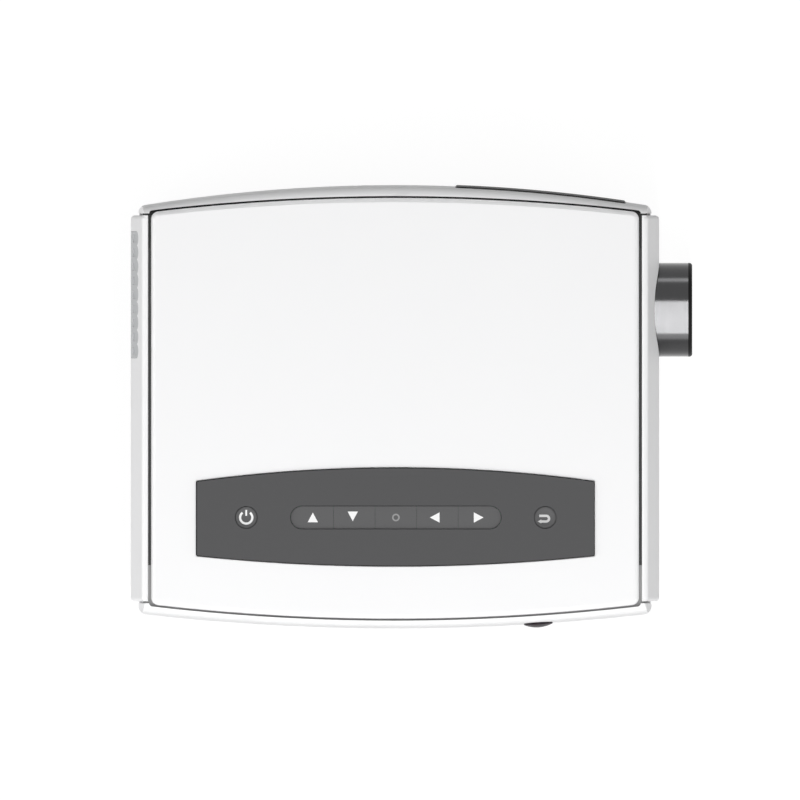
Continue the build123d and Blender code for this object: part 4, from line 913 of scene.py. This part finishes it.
class PROJECTOR_OT_boards(bpy.types.Operator):
    """Finishes the circuit boards and the remote-control eye"""

    bl_idname = "projector.boards"
    bl_label = "Boards"

    def execute(self, context):
        board = 1.65 * MM
        thin_board = 1.05 * MM
        upwards = (0, 0, 1)
        beyond = 1.0
        for name, node, thickness in (
            ("key_board_green", "key_board", board),
            ("supply_green", "psu_board", board),
            ("drive_green", "drive_board", thin_board),
        ):
            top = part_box(node)[0].z + thickness
            dress(circuit_green(name, upwards, 0.0, top), node)
        eye_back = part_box("ir_receiver")[1].y - board
        dress(circuit_green("eye_green", (0, 1, 0), eye_back, beyond), "ir_receiver")
        self.main_board()
        window = moulded(
            "window_dark",
            (0.016, 0.01, 0.014),
            0.35,
            grain=0.5,
            depth=0.001,
            drift=0.1,
            shine=0.12,
        )
        dress(window, "ir_window")
        return {"FINISHED"}

    def main_board(self):
        """The main board stands behind the sockets, so its faces lie across their direction."""
        behind_mouth = 14.5 * MM
        board_and_gaps = 2.2 * MM
        outward = Vector(MOUNTS["card_slot"]["axis"])
        face = Vector(MOUNTS["card_slot"]["pos_m"]).dot(outward) - behind_mouth
        dress(circuit_green("main_green", outward, face - board_and_gaps, face), "main_board")


class PROJECTOR_OT_speakers(bpy.types.Operator):
    """Finishes the speakers"""

    bl_idname = "projector.speakers"
    bl_label = "Speakers"

    def execute(self, context):
        dress(moulded("speaker_black", grey(36), 0.7, grain=0.6, depth=0.03), "speakers")
        return {"FINISHED"}


class PROJECTOR_OT_drive(bpy.types.Operator):
    """Finishes the disc drive, its tray and its sledge"""

    bl_idname = "projector.drive"
    bl_label = "Disc drive"

    def execute(self, context):
        zinc = sheet_metal("drive_zinc", (0.56, 0.57, 0.59), 0.34, (0, 1, 0))
        dress(zinc, "drive_case", "drive_cover")
        dress(sheet_metal("rail_steel", (0.52, 0.52, 0.54), 0.28, (0, 1, 0)), "tray_rails")
        tray = moulded("tray_black", grey(46), 0.5, grain=0.4, depth=0.01, drift=0.05)
        dress(tray, "disc_tray")
        dress(sheet_metal("motor_steel", (0.5, 0.5, 0.52), 0.3, (0, 0, 1)), "drive_motors")
        dress(platter("hub_grey", "turntable", inner=9.4, outer=14.0), "turntable")
        lens_height = 0.25 * MM
        lens_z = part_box("optical_pickup")[1].z - lens_height
        body = (grey(36), grey(46), 0.45)
        objective = ((0.1, 0.16, 0.3), (0.16, 0.22, 0.42), 0.08)
        dress(two_part("pickup_black", (0, 0, 1), lens_z, body, objective), "optical_pickup")
        rod = sheet_metal("rod_steel", (0.66, 0.66, 0.68), 0.15, (1, 1, 0))
        dress(rod, "sled_rods", "lead_screw")
        return {"FINISHED"}


class PROJECTOR_OT_feet(bpy.types.Operator):
    """Finishes the feet, the lifting foot, the screws and the ceiling inserts"""

    bl_idname = "projector.feet"
    bl_label = "Feet and fixings"

    def execute(self, context):
        dress(rubber("foot_rubber", level(44)), "rubber_feet")
        dress(moulded("wheel_dark", grey(56), 0.5), "foot_wheel", "foot_stem")
        dress(sheet_metal("screw_steel", (0.4, 0.4, 0.41), 0.35, (0, 0, 1)), "case_screws")
        dress(sheet_metal("insert_brass", (0.78, 0.6, 0.28), 0.3, (0, 0, 1)), "mount_inserts")
        return {"FINISHED"}


class PROJECTOR_OT_studio(bpy.types.Operator):
    """Sets up the floor, the soft lamps, the world and the camera above"""

    bl_idname = "projector.studio"
    bl_label = "Studio"

    # Each lamp's place, size, brightness setting, and the place along X that it is aimed at
    LAMPS = (
        ("overhead_strip", (0.15, -0.53, 1.65), (0.14, 2.9), "above", 0.15),
        ("back_lamp", (-0.8, 0.9, 1.1), (0.7, 0.7), "back", 0.0),
        ("left_lamp", (-1.1, -0.3, 0.4), (1.0, 0.6), "left", 0.0),
        ("right_lamp", (1.1, -0.3, 0.4), (1.0, 0.6), "right", 0.0),
        ("front_lamp", (-0.1, -1.1, 0.6), (1.4, 0.5), "front", 0.0),
        ("low_strip", (0.15, 1.2, 0.3), (0.4, 0.2), "low", 0.15),
    )
    AIM_HEIGHT = 0.06
    FLOOR_REACH = 6.0
    # The floor lies a hair below the feet, so that the two don't share a plane
    FLOOR_DROP = 0.05 * MM

    def execute(self, context):
        settings = context.scene.projector_studio
        self.floor()
        self.world(context, settings.ambient)
        for name, place, size, setting, aim_x in self.LAMPS:
            self.lamp(name, place, size, getattr(settings, setting), aim_x)
        context.scene.view_settings.view_transform = "Standard"
        lens = bpy.data.cameras.new("camera_above")
        lens.type = "ORTHO"
        lens.ortho_scale = VIEW_WIDTH
        camera = bpy.data.objects.new("camera_above", lens)
        camera.location = (*VIEW_MIDDLE, CAMERA_HEIGHT)
        context.scene.collection.objects.link(camera)
        context.scene.camera = camera
        return {"FINISHED"}

    def seen(self, mix):
        """One for rays that show the background: to the camera, in metal and through glass."""
        camera = mix.node("LightPath", output="Is Camera Ray")
        glossy = mix.node("LightPath", output="Is Glossy Ray")
        through = mix.node("LightPath", output="Is Transmission Ray")
        return (camera + glossy + through) > 0.5

    def floor(self):
        mesh = bpy.data.meshes.new("studio_floor")
        reach = self.FLOOR_REACH
        corners = [(-reach, -reach, 0), (reach, -reach, 0), (reach, reach, 0), (-reach, reach, 0)]
        mesh.from_pydata(corners, [], [(0, 1, 2, 3)])
        floor = bpy.data.objects.new("studio_floor", mesh)
        bpy.context.scene.collection.objects.link(floor)
        mix = material("floor_white")
        paper = mix.node("BsdfDiffuse", None, {"Color": (0.16, 0.16, 0.16, 1.0)})
        glow = mix.node("Emission", None, {"Color": (1, 1, 1, 1), "Strength": 0.9})
        both = mix.node("AddShader", None, {0: paper, 1: glow})
        shared = mix.node("MixShader", None, {0: self.seen(mix), 1: paper, 2: both})
        mesh.materials.append(mix.done(shared))
        floor.location.z = -self.FLOOR_DROP

    def world(self, context, ambient):
        world = bpy.data.worlds.new("studio_world")
        context.scene.world = world
        mix = Finish(world)
        dim = mix.node("Background", None, {"Color": (1, 1, 1, 1), "Strength": ambient})
        white = mix.node("Background", None, {"Color": (1, 1, 1, 1), "Strength": 1.0})
        shared = mix.node("MixShader", None, {0: self.seen(mix), 1: dim, 2: white})
        mix.done(shared, "OutputWorld")

    def lamp(self, name, place, size, brightness, aim_x):
        """A rectangular soft lamp of a given brightness, aimed at the part."""
        lamp = bpy.data.lights.new(name, "AREA")
        lamp.shape = "RECTANGLE"
        lamp.size, lamp.size_y = size
        lamp.energy = brightness * math.pi * size[0] * size[1]
        holder = bpy.data.objects.new(name, lamp)
        holder.location = place
        aim = Vector((aim_x, 0, self.AIM_HEIGHT)) - Vector(place)
        holder.rotation_euler = aim.to_track_quat("-Z", "Y").to_euler()
        holder.visible_camera = False
        bpy.context.scene.collection.objects.link(holder)


class PROJECTOR_PT_pieces(bpy.types.Panel):
    """Shows the projector's settings and a button for each finishing step"""

    bl_idname = "PROJECTOR_PT_pieces"
    bl_label = "Projector"
    bl_space_type = "VIEW_3D"
    bl_region_type = "UI"
    bl_category = "Projector"

    def draw(self, context):
        for name, group in GROUPS:
            box = self.layout.box()
            settings = getattr(context.scene, name)
            for field in group.__annotations__:
                box.prop(settings, field)
        for step in STEPS:
            self.layout.operator(step.bl_idname)


GROUPS = (
    ("projector_shell", ShellSettings),
    ("projector_keys", KeySettings),
    ("projector_lens", LensSettings),
    ("projector_studio", StudioSettings),
)
STEPS = (
    PROJECTOR_OT_studio,
    PROJECTOR_OT_shells,
    PROJECTOR_OT_grille,
    PROJECTOR_OT_control_panel,
    PROJECTOR_OT_signs,
    PROJECTOR_OT_lens,
    PROJECTOR_OT_light_path,
    PROJECTOR_OT_sockets,
    PROJECTOR_OT_boards,
    PROJECTOR_OT_speakers,
    PROJECTOR_OT_drive,
    PROJECTOR_OT_feet,
)


def register():
    for name, group in GROUPS:
        bpy.utils.register_class(group)
        setattr(bpy.types.Scene, name, bpy.props.PointerProperty(type=group))
    for step in STEPS:
        bpy.utils.register_class(step)
    bpy.utils.register_class(PROJECTOR_PT_pieces)


def unregister():
    bpy.utils.unregister_class(PROJECTOR_PT_pieces)
    for step in reversed(STEPS):
        bpy.utils.unregister_class(step)
    for name, group in reversed(GROUPS):
        delattr(bpy.types.Scene, name)
        bpy.utils.unregister_class(group)


def main():
    register()
    for step in STEPS:
        family, action = step.bl_idname.split(".")
        getattr(getattr(bpy.ops, family), action)()


if __name__ == "__main__":
    main()
